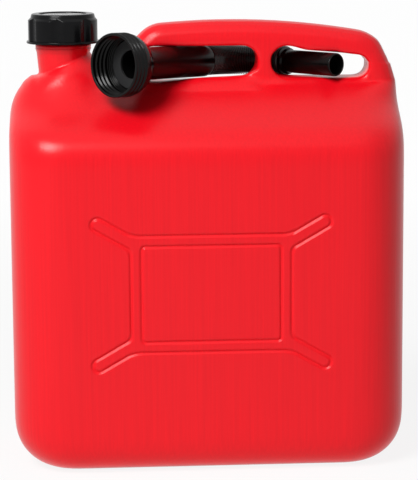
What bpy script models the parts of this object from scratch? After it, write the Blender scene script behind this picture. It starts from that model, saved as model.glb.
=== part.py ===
"""Fuel can of blow-moulded plastic, with a screw cap and a flexible spout put away in its handle.

Metres, +Z up. The origin is the centre of the base, +X runs along the can away from the neck,
and -Y is the front. The spout is built in a frame of its own, with +X along its tube.
"""
import math

import bmesh
import bpy
import numpy as np
from mathutils import Vector

# Tank
BODY_LENGTH = 0.360
BODY_DEPTH = 0.190
RIDGE_HEIGHT = 0.3493
RIDGE_DEPTH = 0.039
SHOULDER_BELOW_RIDGE = 0.0443
SHOULDER_ROUND = 0.030
VERTICAL_ROUND = 0.048
BASE_ROUND_SIDES = 0.031
BASE_ROUND_ENDS = 0.042
NECK_END_BELOW_RIDGE = 0.0123
NECK_END_ROUND = 0.038
NECK_END_INSET = 0.0115
GRIP_END_BELOW_RIDGE = 0.0233
GRIP_END_ROUND = 0.120
GRIP_END_INSET = 0.0018
NARROWEST_CORNER = 0.96
WALL = 0.0030
HANDLE_WALL = 0.0027
FOOT_WALL = 0.0036

# Neck and its foot
NECK_FROM_END = 0.0505
NECK_RADIUS = 0.0245
NECK_BORE_RADIUS = 0.0210
NECK_FINISH_RADIUS = 0.0238
NECK_LIP_ROUND = 0.0010
NECK_HEIGHT = 0.0565
NECK_ROOT_BELOW_RIDGE = 0.0100
BEAD_RADIUS = 0.0256
BEAD_HEIGHT = 0.0055
BEAD_SLOPE = 0.0017
BEAD_BELOW_CAP = 0.0010
FOOT_TOP_ABOVE_RIDGE = 0.0174
FOOT_TOP_LEDGE = 0.0014
FOOT_SLANT = 0.36
FOOT_MIDDLE_SLANT = 0.03
FOOT_MIDDLE_LENGTH = 0.0890
FOOT_MIDDLE_DEPTH = 0.0800
FOOT_MIDDLE_BELOW_RIDGE = 0.0045
FOOT_BOTTOM_DEPTH = 0.1360
FOOT_BOTTOM_BELOW_RIDGE = 0.0330

# Handle: a hollow band along the ridge with two windows and a web between them
HANDLE_DEPTH = 0.038
HANDLE_EDGE_ROUND = 0.0155
BAR_HEIGHT = 0.0219
BAR_CROWN_RADIUS = 0.700
BAR_DROP_TO_NECK_END = 0.0071
BAR_DROP_TO_GRIP_END = 0.0182
BAR_PEAK_RISE = 0.0040
BAR_PEAK_X = 0.052
NECK_ROOT_PAST_WINDOW_START = 0.0145
NECK_ROOT_ROUND = 0.030
SADDLE_BEFORE_WINDOW = 0.0270
SADDLE_ABOVE_RIDGE = 0.0155
SADDLE_ROUND = 0.020
GRIP_CORNER_FROM_END = 0.0150
GRIP_CORNER_ROUND = 0.038
GRIP_FOOT_BELOW_RIDGE = 0.0010
GRIP_FOOT_INSET = 0.0019
BAND_BURIED = 0.020
TUBE_WINDOW_CLEARANCE = 0.0094
WEB_START = 0.0487
WEB_WIDTH = 0.0123
GRIP_WINDOW_FROM_END = 0.0288
WINDOW_SILL_LOW = 0.0002
WINDOW_SILL_HIGH = 0.0042
GRIP_SILL_DROP = 0.0008
GRIP_WINDOW_TOP_DROP = 0.0078
GRIP_WINDOW_ROUND = 0.0105
WINDOW_END_SHARE = 0.47
WINDOW_LIP_ROUND = 0.0030

# Pressed lines on both broad faces
PANEL_CENTRE_HEIGHT = 0.1672
PANEL_LENGTH = 0.1448
PANEL_HEIGHT = 0.1066
PANEL_BAND = 0.0096
PANEL_CORNER_ROUND = 0.0035
RAY_WIDTH = 0.0116
RAY_LENGTH = 0.0340
RAY_SLOPE_DEG = 30.0
RAY_BELOW_CORNER = 0.0061
GROOVE_RADIUS = 0.0036
GROOVE_CENTRE_OUT = 0.0025

# Screw cap and its gasket
GAP = 0.0003
CAP_RADIUS = 0.0320
CAP_FLUTE_DEPTH = 0.0023
CAP_FLUTE_SHARE = 0.7
CAP_FLUTE_AT_DEG = -100.3
CAP_LOBES = 7
CAP_HEIGHT = 0.0270
CAP_FLANGE_RADIUS = 0.0336
CAP_FLANGE_HEIGHT = 0.0022
CAP_RIM_RADIUS = 0.0297
CAP_RIM_HEIGHT = 0.0038
CAP_LOBE_SLOPE = 0.0019
CAP_RIM_TAPER = 0.0014
CAP_EDGE_ROUND = 0.0012
CAP_RECESS_RADIUS = 0.0220
CAP_RECESS_DEPTH = 0.0022
CAP_PLATE = 0.0030
CAP_THREAD_CLEARANCE = 0.0022
CAP_GASKET_HEIGHT = 0.0020

# Spout
TUBE_RADIUS = 0.0149
TUBE_WALL = 0.0020
TUBE_LENGTH = 0.1212
TUBE_END_ROUND = 0.0022
SPOUT_HEADING_DEG = 44.9
SPOUT_TILT_DEG = 1.95
SPOUT_BEND_DEG = 93.6
SPOUT_BEFORE_WEB = 0.0479
TUBE_SILL_CLEARANCE = 0.0005
TUBE_LINTEL_CLEARANCE = 0.0006
WEB_BACK_CLEARANCE = 0.0056
BELLOWS_RADIUS = 0.0139
BELLOWS_VALLEY = 0.0014
BELLOWS_WALL = 0.0016
BELLOWS_LEAD = 0.0139
BELLOWS_BEND_RADIUS = 0.0464
BELLOWS_TAIL = 0.0021
BELLOWS_RIBS = 38
BELLOWS_CUFF = 0.0016
NOZZLE_RADIUS = 0.0107
NOZZLE_WALL = 0.0016
NOZZLE_LENGTH = 0.0616
NOZZLE_EDGE_ROUND = 0.0006
NOZZLE_STEP = 0.0030
COLLAR_RADIUS = 0.0276
COLLAR_RIDGE = 0.0014
COLLAR_RIDGES = 4
COLLAR_RIDGE_PITCH = 0.0045
COLLAR_RIDGE_FLAT = 0.0011
COLLAR_RIDGE_FOOT = 0.0034
COLLAR_MOUTH_ROUND = 0.0004
COLLAR_BORE_RADIUS = 0.0262
COLLAR_SHOULDER_START = 0.0195
COLLAR_DEPTH = 0.0289
COLLAR_PLATE = 0.0026
COLLAR_SEAT_RADIUS = 0.0226
COLLAR_TUBE_CLEARANCE = 0.0004
SPOUT_GASKET_HEIGHT = 0.0015
SPOUT_FLANGE_HEIGHT = 0.0016
FLANGE_CLEARANCE = 0.0004

# Facets
CORNER_STEPS = 7
OUTER_STEPS = (6, 5, 5)
CAVITY_STEPS = (4, 3, 3)
ARC_STEP_DEG = 12.0
BAND_EDGE_STEPS = 4
LIP_STEPS = 2
ROUND_SIDES = 40
TUBE_SIDES = 28
BELLOWS_SIDES = 20
CAP_SIDES_PER_LOBE = 8
GROOVE_SIDES = 8
PROFILE_STEP_DEG = 5.0
BAND_STEP_DEG = 6.0
LONGEST_ARC_STEP = 0.0140
PANEL_FRAME_STEP_DEG = 24.0
PANEL_INNER_STEP_DEG = 30.0
SMOOTH_LIMIT_DEG = 38.0
STRAIGHT_TURN = 0.0001
SAME_POINT = 0.000001

# Colours, roughness
RED = (0.87, 0.012, 0.020, 1.0)
BLACK = (0.016, 0.015, 0.018, 1.0)
RUBBER = (0.030, 0.030, 0.032, 1.0)

# Places that follow from the sizes above
HALF_LENGTH = BODY_LENGTH / 2
HALF_DEPTH = BODY_DEPTH / 2
HALF_HANDLE = HANDLE_DEPTH / 2
NECK_X = -HALF_LENGTH + NECK_FROM_END
WEB_END = WEB_START + WEB_WIDTH
GRIP_WINDOW_END = HALF_LENGTH - GRIP_WINDOW_FROM_END
SHOULDER_HEIGHT = RIDGE_HEIGHT - SHOULDER_BELOW_RIDGE
NECK_END_HEIGHT = RIDGE_HEIGHT - NECK_END_BELOW_RIDGE
GRIP_END_HEIGHT = RIDGE_HEIGHT - GRIP_END_BELOW_RIDGE
SILL_LEFT = RIDGE_HEIGHT + WINDOW_SILL_LOW
SILL_RIGHT = RIDGE_HEIGHT + WINDOW_SILL_HIGH
ROOF_LEAN = math.atan2(HALF_DEPTH - RIDGE_DEPTH / 2, RIDGE_HEIGHT - SHOULDER_HEIGHT)
SHOULDER_REACH = SHOULDER_ROUND * math.tan(ROOF_LEAN / 2)
SHOULDER_LOW = SHOULDER_HEIGHT - SHOULDER_REACH
SHOULDER_HIGH = SHOULDER_HEIGHT + SHOULDER_REACH * math.cos(ROOF_LEAN)
HEADING = math.radians(SPOUT_HEADING_DEG)
TILT = math.radians(SPOUT_TILT_DEG)
BEND = math.radians(SPOUT_BEND_DEG)
BELLOWS_LENGTH = BELLOWS_LEAD + BELLOWS_BEND_RADIUS * BEND + BELLOWS_TAIL
BEND_DEPTH = BELLOWS_BEND_RADIUS * (1 - math.cos(HEADING))
BEND_START_Y = HALF_HANDLE + WEB_BACK_CLEARANCE + BELLOWS_RADIUS - BEND_DEPTH
SPOUT_X = WEB_START - SPOUT_BEFORE_WEB
SPOUT_Y = BEND_START_Y - BELLOWS_LEAD * math.sin(HEADING)
TUBE_AT_FRONT = SPOUT_X - (SPOUT_Y + HALF_HANDLE) / math.tan(HEADING)
NECK_WINDOW_START = TUBE_AT_FRONT - TUBE_RADIUS / math.sin(HEADING) - TUBE_WINDOW_CLEARANCE
SILL_SLOPE = (SILL_RIGHT - SILL_LEFT) / (WEB_START - NECK_WINDOW_START)
TUBE_RISE_TO_FRONT = math.tan(TILT) * (SPOUT_Y + HALF_HANDLE) / math.sin(HEADING)
SILL_AT_TUBE = SILL_LEFT + SILL_SLOPE * (SPOUT_X - NECK_WINDOW_START)
SPOUT_Z = SILL_AT_TUBE + TUBE_SILL_CLEARANCE + TUBE_RADIUS / math.cos(TILT)
WINDOW_TOP = SPOUT_Z + TUBE_RISE_TO_FRONT + TUBE_RADIUS + TUBE_LINTEL_CLEARANCE
BAR_TOP = WINDOW_TOP + BAR_HEIGHT
NECK_TOP = RIDGE_HEIGHT + NECK_HEIGHT
CAP_BORE_RADIUS = NECK_FINISH_RADIUS + CAP_THREAD_CLEARANCE
CAP_TOP = NECK_TOP + GAP + CAP_GASKET_HEIGHT + GAP + CAP_PLATE + CAP_RECESS_DEPTH
CAP_BASE = CAP_TOP - CAP_HEIGHT
BEAD_TOP = CAP_BASE - BEAD_BELOW_CAP


def clear_scene():
    for item in list(bpy.data.objects):
        bpy.data.objects.remove(item, do_unlink=True)


def make_material(name, colour, roughness):
    material = bpy.data.materials.new(name)
    material.use_nodes = True
    shader = material.node_tree.nodes["Principled BSDF"]
    shader.inputs["Base Color"].default_value = colour
    shader.inputs["Roughness"].default_value = roughness
    shader.inputs["Metallic"].default_value = 0.0
    material.diffuse_color = colour
    return material


def add_object(name, bm, material=None):
    bmesh.ops.recalc_face_normals(bm, faces=bm.faces)
    mesh = bpy.data.meshes.new(name)
    bm.to_mesh(mesh)
    bm.free()
    item = bpy.data.objects.new(name, mesh)
    bpy.context.scene.collection.objects.link(item)
    if material:
        mesh.materials.append(material)
        mesh.shade_smooth()
        mesh.set_sharp_from_angle(angle=math.radians(SMOOTH_LIMIT_DEG))
    return item


def add_empty(name, location, rotation=(0.0, 0.0, 0.0), parent=None):
    empty = bpy.data.objects.new(name, None)
    bpy.context.scene.collection.objects.link(empty)
    empty.location = location
    empty.rotation_euler = rotation
    empty.parent = parent
    return empty


def helper(item):
    item.hide_render = True
    item.display_type = "WIRE"
    return item


def combine(target, other, operation):
    modifier = target.modifiers.new(operation.title(), "BOOLEAN")
    modifier.operation = operation
    modifier.solver = "EXACT"
    modifier.object = helper(other)


def corner_at(corners, i):
    """A corner's place, the ways to its neighbours, their distances and how far it turns."""
    here = np.array(corners[i][:2])
    before = np.array(corners[i - 1][:2]) - here
    after = np.array(corners[(i + 1) % len(corners)][:2]) - here
    lengths = (np.linalg.norm(before), np.linalg.norm(after))
    before /= lengths[0]
    after /= lengths[1]
    turn = math.pi - math.acos(max(-1.0, min(1.0, float(before @ after))))
    return here, before, after, lengths, turn


def fitted_reaches(corners):
    """How far each corner's arc reaches along its sides, the longer of two cut where they meet."""
    count = len(corners)
    places = [corner_at(corners, i) for i in range(count)]
    reaches = [corners[i][2] * math.tan(places[i][4] / 2) for i in range(count)]
    for i in range(count):
        j = (i + 1) % count
        room = places[i][3][1]
        if reaches[i] + reaches[j] > room + SAME_POINT:
            longer = i if reaches[i] > reaches[j] else j
            other = i + j - longer
            reaches[longer] = room - reaches[other]
    return reaches


def rounded_outline(corners, step_deg=ARC_STEP_DEG):
    """Points of a closed polygon of (x, z, radius) corners, each corner rounded by an arc."""
    points = []
    reaches = fitted_reaches(corners)
    for i, reach in enumerate(reaches):
        here, before, after, _, turn = corner_at(corners, i)
        if reach <= 0 or turn < STRAIGHT_TURN:
            points.append(here)
            continue
        radius = reach / math.tan(turn / 2)
        middle = before + after
        centre = here + middle / np.linalg.norm(middle) * radius / math.cos(turn / 2)
        start = here + before * reach - centre
        side = np.array((-start[1], start[0]))
        if side @ (after * reach - before * reach) < 0:
            side = -side
        least = max(math.degrees(turn) / step_deg, radius * turn / LONGEST_ARC_STEP)
        steps = max(2, math.ceil(least))
        for k in range(steps + 1):
            angle = turn * k / steps
            points.append(centre + start * math.cos(angle) + side * math.sin(angle))
    return [p for i, p in enumerate(points) if np.linalg.norm(p - points[i - 1]) > SAME_POINT]


def inset_outline(points, distance):
    """The same closed outline, counter-clockwise, moved inwards by a distance."""
    count = len(points)
    moved = []
    for i, here in enumerate(points):
        into = here - points[i - 1]
        out = points[(i + 1) % count] - here
        into = into / np.linalg.norm(into)
        out = out / np.linalg.norm(out)
        left_in = np.array((-into[1], into[0]))
        left_out = np.array((-out[1], out[0]))
        middle = left_in + left_out
        moved.append(here + middle * distance / (0.5 * float(middle @ middle)))
    return moved


def loft(bm, rings, closed=False):
    """Skin a row of rings that have as many points each, and cap the first and last."""
    loops = [[bm.verts.new(Vector(point)) for point in ring] for ring in rings]
    count = len(loops[0])
    pairs = list(zip(loops, loops[1:]))
    if closed:
        pairs.append((loops[-1], loops[0]))
    for lower, upper in pairs:
        for i in range(count):
            j = (i + 1) % count
            bm.faces.new((lower[i], lower[j], upper[j], upper[i]))
    if not closed:
        bm.faces.new(loops[0])
        bm.faces.new(loops[-1])


def turned(name, profile, sides, material=None):
    """Turn a closed profile of (radius, height) points about the local Z axis."""
    bm = bmesh.new()
    verts = [bm.verts.new((radius, 0.0, height)) for radius, height in profile]
    edges = [bm.edges.new(pair) for pair in zip(verts, verts[1:])]
    if profile[0][0] > 0:
        edges.append(bm.edges.new((verts[-1], verts[0])))
    bmesh.ops.spin(
        bm,
        geom=verts + edges,
        cent=(0.0, 0.0, 0.0),
        axis=(0.0, 0.0, 1.0),
        angle=math.tau,
        steps=sides,
        use_merge=True,
    )
    bmesh.ops.remove_doubles(bm, verts=bm.verts, dist=SAME_POINT)
    return add_object(name, bm, material)


def ring_wall(outer, inner):
    """A closed profile from the outer points and the inner points, both going up."""
    return list(outer) + list(reversed(inner))


def depth_profile():
    """Cross-section of the tank as (y, z) points, counter-clockwise."""
    half_ridge = RIDGE_DEPTH / 2
    return rounded_outline(
        [
            (-HALF_DEPTH, 0.0, BASE_ROUND_SIDES),
            (HALF_DEPTH, 0.0, BASE_ROUND_SIDES),
            (HALF_DEPTH, SHOULDER_HEIGHT, SHOULDER_ROUND),
            (half_ridge, RIDGE_HEIGHT, 0.0),
            (-half_ridge, RIDGE_HEIGHT, 0.0),
            (-HALF_DEPTH, SHOULDER_HEIGHT, SHOULDER_ROUND),
        ],
        PROFILE_STEP_DEG,
    )


def length_profile():
    """Front view of the tank as (x, z) points, counter-clockwise."""
    return rounded_outline(
        [
            (-HALF_LENGTH, 0.0, BASE_ROUND_ENDS),
            (HALF_LENGTH, 0.0, BASE_ROUND_ENDS),
            (HALF_LENGTH, GRIP_END_HEIGHT, GRIP_END_ROUND),
            (HALF_LENGTH - GRIP_END_INSET, RIDGE_HEIGHT, 0.0),
            (-HALF_LENGTH + NECK_END_INSET, RIDGE_HEIGHT, 0.0),
            (-HALF_LENGTH, NECK_END_HEIGHT, NECK_END_ROUND),
        ],
        PROFILE_STEP_DEG,
    )


def reach_at(outline, height, side):
    """How far an outline reaches to one side at a height."""
    chain = sorted((float(z), float(x) * side) for x, z in outline if x * side > 0)
    return float(np.interp(height, [z for z, x in chain], [x for z, x in chain]))


def tank_ring(height, lengths, depths, corner_round, corner_steps):
    """Rounded rectangle: the tank cut level at a height."""
    right = reach_at(lengths, height, 1)
    left = reach_at(lengths, height, -1)
    half = reach_at(depths, height, 1)
    if height < BASE_ROUND_SIDES:
        corner_round -= reach_at(depths, BASE_ROUND_SIDES, 1) - half
    corner = min(corner_round, half * NARROWEST_CORNER)
    ring = []
    quarters = ((right, half, 0), (-left, half, 1), (-left, -half, 2), (right, -half, 3))
    for x, y, quarter in quarters:
        cx = x - math.copysign(corner, x)
        cy = y - math.copysign(corner, y)
        for k in range(corner_steps + 1):
            angle = math.pi / 2 * (quarter + k / corner_steps)
            ring.append((cx + corner * math.cos(angle), cy + corner * math.sin(angle), height))
    return ring


def tank_heights(bottom, top, base_steps, shoulder_steps, roof_steps):
    """Levels of the tank's rings: close together round the base, the shoulder and the roof."""
    heights = []
    for k in range(base_steps + 1):
        angle = math.pi / 2 * k / base_steps
        heights.append(bottom + BASE_ROUND_ENDS * (1 - math.cos(angle)))
    for k in range(shoulder_steps + 1):
        heights.append(SHOULDER_LOW + (SHOULDER_HIGH - SHOULDER_LOW) * k / shoulder_steps)
    for k in range(roof_steps):
        heights.append(SHOULDER_HIGH + (top - SHOULDER_HIGH) * (k + 1) / roof_steps)
    return heights


def tank(name, inset, corner_steps, steps, material=None):
    lengths = length_profile()
    depths = depth_profile()
    if inset:
        lengths = inset_outline(lengths, inset)
        depths = inset_outline(depths, inset)
    heights = tank_heights(inset, RIDGE_HEIGHT - inset, *steps)
    corner = VERTICAL_ROUND - inset
    bm = bmesh.new()
    loft(bm, [tank_ring(height, lengths, depths, corner, corner_steps) for height in heights])
    return add_object(name, bm, material)


def band_outline():
    """Front view of the handle band as (x, z) points, counter-clockwise."""
    buried = RIDGE_HEIGHT - BAND_BURIED
    peak = BAR_TOP + BAR_PEAK_RISE
    grip_corner = HALF_LENGTH - GRIP_CORNER_FROM_END
    neck_root = NECK_WINDOW_START + NECK_ROOT_PAST_WINDOW_START
    saddle = NECK_WINDOW_START - SADDLE_BEFORE_WINDOW
    inside_neck = NECK_X - NECK_BORE_RADIUS / 2
    return rounded_outline(
        [
            (inside_neck, buried, 0.0),
            (GRIP_WINDOW_END, buried, 0.0),
            (HALF_LENGTH - GRIP_FOOT_INSET, RIDGE_HEIGHT - GRIP_FOOT_BELOW_RIDGE, 0.0),
            (grip_corner, peak - BAR_DROP_TO_GRIP_END, GRIP_CORNER_ROUND),
            (BAR_PEAK_X, peak, BAR_CROWN_RADIUS),
            (neck_root, peak - BAR_DROP_TO_NECK_END, NECK_ROOT_ROUND),
            (saddle, RIDGE_HEIGHT + SADDLE_ABOVE_RIDGE, SADDLE_ROUND),
            (inside_neck, RIDGE_HEIGHT + SADDLE_ABOVE_RIDGE, 0.0),
        ],
        BAND_STEP_DEG,
    )


def window_outlines():
    """Front views of the two hand windows."""
    height = WINDOW_TOP - SILL_LEFT
    end = height * WINDOW_END_SHARE
    narrow = (WINDOW_TOP - SILL_RIGHT) * WINDOW_END_SHARE
    neck_window = [
        (NECK_WINDOW_START, SILL_LEFT, end),
        (WEB_START, SILL_RIGHT, narrow),
        (WEB_START, WINDOW_TOP, narrow),
        (NECK_WINDOW_START, WINDOW_TOP, end),
    ]
    grip_top = WINDOW_TOP - GRIP_WINDOW_TOP_DROP
    grip_sill = SILL_RIGHT - GRIP_SILL_DROP
    grip_window = [
        (WEB_END, SILL_RIGHT, narrow),
        (GRIP_WINDOW_END, grip_sill, GRIP_WINDOW_ROUND),
        (GRIP_WINDOW_END, grip_top, GRIP_WINDOW_ROUND),
        (WEB_END, WINDOW_TOP, narrow),
    ]
    return [rounded_outline(neck_window), rounded_outline(grip_window)]


def slab(name, outline, levels):
    """Stack one outline along Y, inset by another distance at each level of (inset, y)."""
    bm = bmesh.new()
    rings = []
    for inset, y in levels:
        ring = inset_outline(outline, inset) if inset else outline
        rings.append([(point[0], y, point[1]) for point in ring])
    loft(bm, rings)
    return add_object(name, bm)


def rounded_levels(half, edge_round, steps, inset=0.0):
    """Levels of a slab whose long edges are rounded outwards."""
    levels = []
    for k in range(steps + 1):
        angle = math.pi / 2 * k / steps
        y = half - edge_round + edge_round * math.cos(angle)
        levels.append((inset + edge_round * (1 - math.sin(angle)), y))
    return [(d, -y) for d, y in levels] + [(d, y) for d, y in reversed(levels)]


def flared_levels(half, lip, steps, margin):
    """Levels of a window cutter that opens out round a lip at both faces."""
    levels = [(-lip, half + margin)]
    for k in range(steps + 1):
        angle = math.pi / 2 * k / steps
        levels.append((-lip * (1 - math.sin(angle)), half - lip + lip * math.cos(angle)))
    return [(d, -y) for d, y in levels] + [(d, y) for d, y in reversed(levels)]


def handle_band(name, inset, steps):
    outline = band_outline()
    half = HALF_HANDLE - inset
    levels = rounded_levels(half, HANDLE_EDGE_ROUND - inset, steps, inset)
    band = slab(name, outline, levels)
    for number, window in enumerate(window_outlines(), 1):
        if inset:
            grown = [(-inset, -HALF_HANDLE), (-inset, HALF_HANDLE)]
            cutter = slab(f"{name}_window_{number}", window, grown)
        else:
            flared = flared_levels(HALF_HANDLE, WINDOW_LIP_ROUND, LIP_STEPS, WINDOW_LIP_ROUND)
            cutter = slab(f"{name}_window_{number}", window, flared)
        combine(band, cutter, "DIFFERENCE")
    return band


def neck_foot(name, inset, sides):
    """The foot that spreads from the neck onto the roof, higher towards the handle."""
    top_radius = NECK_RADIUS + FOOT_TOP_LEDGE
    half_length = FOOT_MIDDLE_LENGTH / 2
    levels = [
        (0.0, -FOOT_BOTTOM_BELOW_RIDGE, half_length, FOOT_BOTTOM_DEPTH / 2),
        (FOOT_MIDDLE_SLANT, -FOOT_MIDDLE_BELOW_RIDGE, half_length, FOOT_MIDDLE_DEPTH / 2),
        (FOOT_SLANT, FOOT_TOP_ABOVE_RIDGE, top_radius, top_radius),
    ]
    rings = []
    for slant, above_ridge, half_x, half_y in levels:
        ring = []
        for k in range(sides):
            angle = math.tau * k / sides
            dx = (half_x - inset) * math.cos(angle)
            dy = (half_y - inset) * math.sin(angle)
            ring.append((NECK_X + dx, dy, RIDGE_HEIGHT + above_ridge - inset + slant * dx))
        rings.append(ring)
    bm = bmesh.new()
    loft(bm, rings)
    return add_object(name, bm)


def neck():
    start = RIDGE_HEIGHT - NECK_ROOT_BELOW_RIDGE
    bead_low = BEAD_TOP - BEAD_HEIGHT
    profile = [
        (0.0, start),
        (NECK_RADIUS, start),
        (NECK_RADIUS, bead_low - BEAD_SLOPE),
        (BEAD_RADIUS, bead_low + BEAD_SLOPE),
        (BEAD_RADIUS, BEAD_TOP - BEAD_SLOPE),
        (NECK_FINISH_RADIUS, BEAD_TOP),
        (NECK_FINISH_RADIUS, NECK_TOP - NECK_LIP_ROUND),
        (NECK_FINISH_RADIUS - NECK_LIP_ROUND, NECK_TOP),
        (0.0, NECK_TOP),
    ]
    item = turned("neck", profile, ROUND_SIDES)
    item.location = (NECK_X, 0.0, 0.0)
    return item


def neck_bore():
    start = RIDGE_HEIGHT - NECK_ROOT_BELOW_RIDGE - WALL * 2
    profile = [
        (0.0, start),
        (NECK_BORE_RADIUS, start),
        (NECK_BORE_RADIUS, NECK_TOP + WALL),
        (0.0, NECK_TOP + WALL),
    ]
    item = turned("neck_bore", profile, ROUND_SIDES)
    item.location = (NECK_X, 0.0, 0.0)
    return item


def panel_frame_outline():
    """The outer pressed line: a frame whose corners run out into four slanting rays."""
    half_x = PANEL_LENGTH / 2
    half_z = PANEL_HEIGHT / 2
    slope = math.radians(RAY_SLOPE_DEG)
    half_ray = RAY_WIDTH / 2
    corners = []
    for sx, sz in ((1, 1), (-1, 1), (-1, -1), (1, -1)):
        along = np.array((sx * math.cos(slope), sz * math.sin(slope)))
        across = np.array((-sx * math.sin(slope), sz * math.cos(slope)))
        start = np.array((sx * half_x, sz * (half_z - RAY_BELOW_CORNER)))
        end = start + along * (RAY_LENGTH + half_ray)
        high = start + across * half_ray
        low = start - across * half_ray
        on_edge = high + along * ((sz * half_z - high[1]) / along[1])
        on_side = low + along * ((sx * half_x - low[0]) / along[0])
        ray = [
            (*on_edge, PANEL_CORNER_ROUND),
            (*(end + across * half_ray), half_ray),
            (*(end - across * half_ray), half_ray),
            (*on_side, PANEL_CORNER_ROUND),
        ]
        corners += reversed(ray) if sx == sz else ray
    return rounded_outline(corners, PANEL_FRAME_STEP_DEG)


def panel_inner_outline():
    half_x = PANEL_LENGTH / 2 - PANEL_BAND
    half_z = PANEL_HEIGHT / 2 - PANEL_BAND
    rectangle = [(-half_x, -half_z), (half_x, -half_z), (half_x, half_z), (-half_x, half_z)]
    return rounded_outline([(x, z, PANEL_CORNER_ROUND) for x, z in rectangle], PANEL_INNER_STEP_DEG)


def groove(name, outline, side):
    """A round rod bent along an outline in front of a broad face, to press a groove."""
    y_centre = side * (HALF_DEPTH + GROOVE_CENTRE_OUT)
    rings = []
    for k in range(GROOVE_SIDES):
        angle = math.tau * (k + 0.5) / GROOVE_SIDES
        moved = inset_outline(outline, GROOVE_RADIUS * math.cos(angle))
        y = y_centre + GROOVE_RADIUS * math.sin(angle)
        rings.append([(x, y, z + PANEL_CENTRE_HEIGHT) for x, z in moved])
    bm = bmesh.new()
    loft(bm, rings, closed=True)
    return add_object(name, bm)


def can_body(material):
    body = tank("can_body", 0.0, CORNER_STEPS, OUTER_STEPS, material)
    for side, face in ((-1, "front"), (1, "back")):
        combine(body, groove(f"{face}_frame_groove", panel_frame_outline(), side), "DIFFERENCE")
        combine(body, groove(f"{face}_inner_groove", panel_inner_outline(), side), "DIFFERENCE")
    combine(body, handle_band("handle_band", 0.0, BAND_EDGE_STEPS), "UNION")
    combine(body, neck_foot("neck_foot", 0.0, ROUND_SIDES), "UNION")
    combine(body, neck(), "UNION")
    cavity = tank("cavity", WALL, CORNER_STEPS - 2, CAVITY_STEPS)
    combine(cavity, handle_band("handle_cavity", HANDLE_WALL, BAND_EDGE_STEPS - 2), "UNION")
    combine(cavity, neck_foot("neck_foot_cavity", FOOT_WALL, ROUND_SIDES // 2), "UNION")
    combine(cavity, neck_bore(), "UNION")
    combine(body, cavity, "DIFFERENCE")
    return body


def cap_ring(radius, height, flute):
    """One level ring of the cap, drawn in by a flute between each two lobes."""
    count = CAP_LOBES * CAP_SIDES_PER_LOBE
    ring = []
    for k in range(count):
        turn = math.tau * k / count
        wave = max(0.0, math.cos(CAP_LOBES * turn) - 1 + CAP_FLUTE_SHARE) / CAP_FLUTE_SHARE
        reach = radius - flute * wave
        angle = turn + math.radians(CAP_FLUTE_AT_DEG)
        ring.append((reach * math.cos(angle), reach * math.sin(angle), height))
    return ring


def cap(material):
    """Closed at the top, open below; its heights are measured from its lower edge."""
    flange_top = CAP_FLANGE_HEIGHT
    lobe_top = CAP_HEIGHT - CAP_RIM_HEIGHT
    under_plate = CAP_HEIGHT - CAP_RECESS_DEPTH - CAP_PLATE
    rim_top = CAP_RIM_RADIUS - CAP_RIM_TAPER
    inside = [(CAP_BORE_RADIUS, under_plate), (CAP_BORE_RADIUS, 0.0)]
    flange = [
        (CAP_FLANGE_RADIUS - CAP_EDGE_ROUND / 2, 0.0),
        (CAP_FLANGE_RADIUS, CAP_EDGE_ROUND / 2),
        (CAP_FLANGE_RADIUS, flange_top - CAP_EDGE_ROUND / 2),
    ]
    rim = [
        (CAP_RIM_RADIUS, lobe_top),
        (rim_top, CAP_HEIGHT - CAP_EDGE_ROUND),
        (rim_top - CAP_EDGE_ROUND, CAP_HEIGHT),
        (CAP_RECESS_RADIUS + CAP_EDGE_ROUND, CAP_HEIGHT),
        (CAP_RECESS_RADIUS, CAP_HEIGHT - CAP_RECESS_DEPTH),
    ]
    rings = [cap_ring(radius, height, 0.0) for radius, height in inside + flange]
    rings.append(cap_ring(CAP_RADIUS, flange_top, CAP_FLUTE_DEPTH))
    rings.append(cap_ring(CAP_RADIUS, lobe_top - CAP_LOBE_SLOPE, CAP_FLUTE_DEPTH))
    rings += [cap_ring(radius, height, 0.0) for radius, height in rim]
    bm = bmesh.new()
    loft(bm, rings)
    item = add_object("cap", bm, material)
    item.location = (NECK_X, 0.0, CAP_BASE)
    return item


def cap_gasket(material):
    outer = CAP_BORE_RADIUS - GAP
    inner = NECK_BORE_RADIUS
    low = NECK_TOP + GAP
    high = low + CAP_GASKET_HEIGHT
    profile = [(inner, low), (outer, low), (outer, high), (inner, high)]
    item = turned("cap_gasket", profile, ROUND_SIDES, material)
    item.location = (NECK_X, 0.0, 0.0)
    return item


def along_tube(item, parent):
    """Lay a turned piece along the spout, its heights counted from the collar's mouth."""
    item.parent = parent
    item.location = (-TUBE_LENGTH, 0.0, 0.0)
    item.rotation_euler = (0.0, math.pi / 2, 0.0)
    return item


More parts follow.
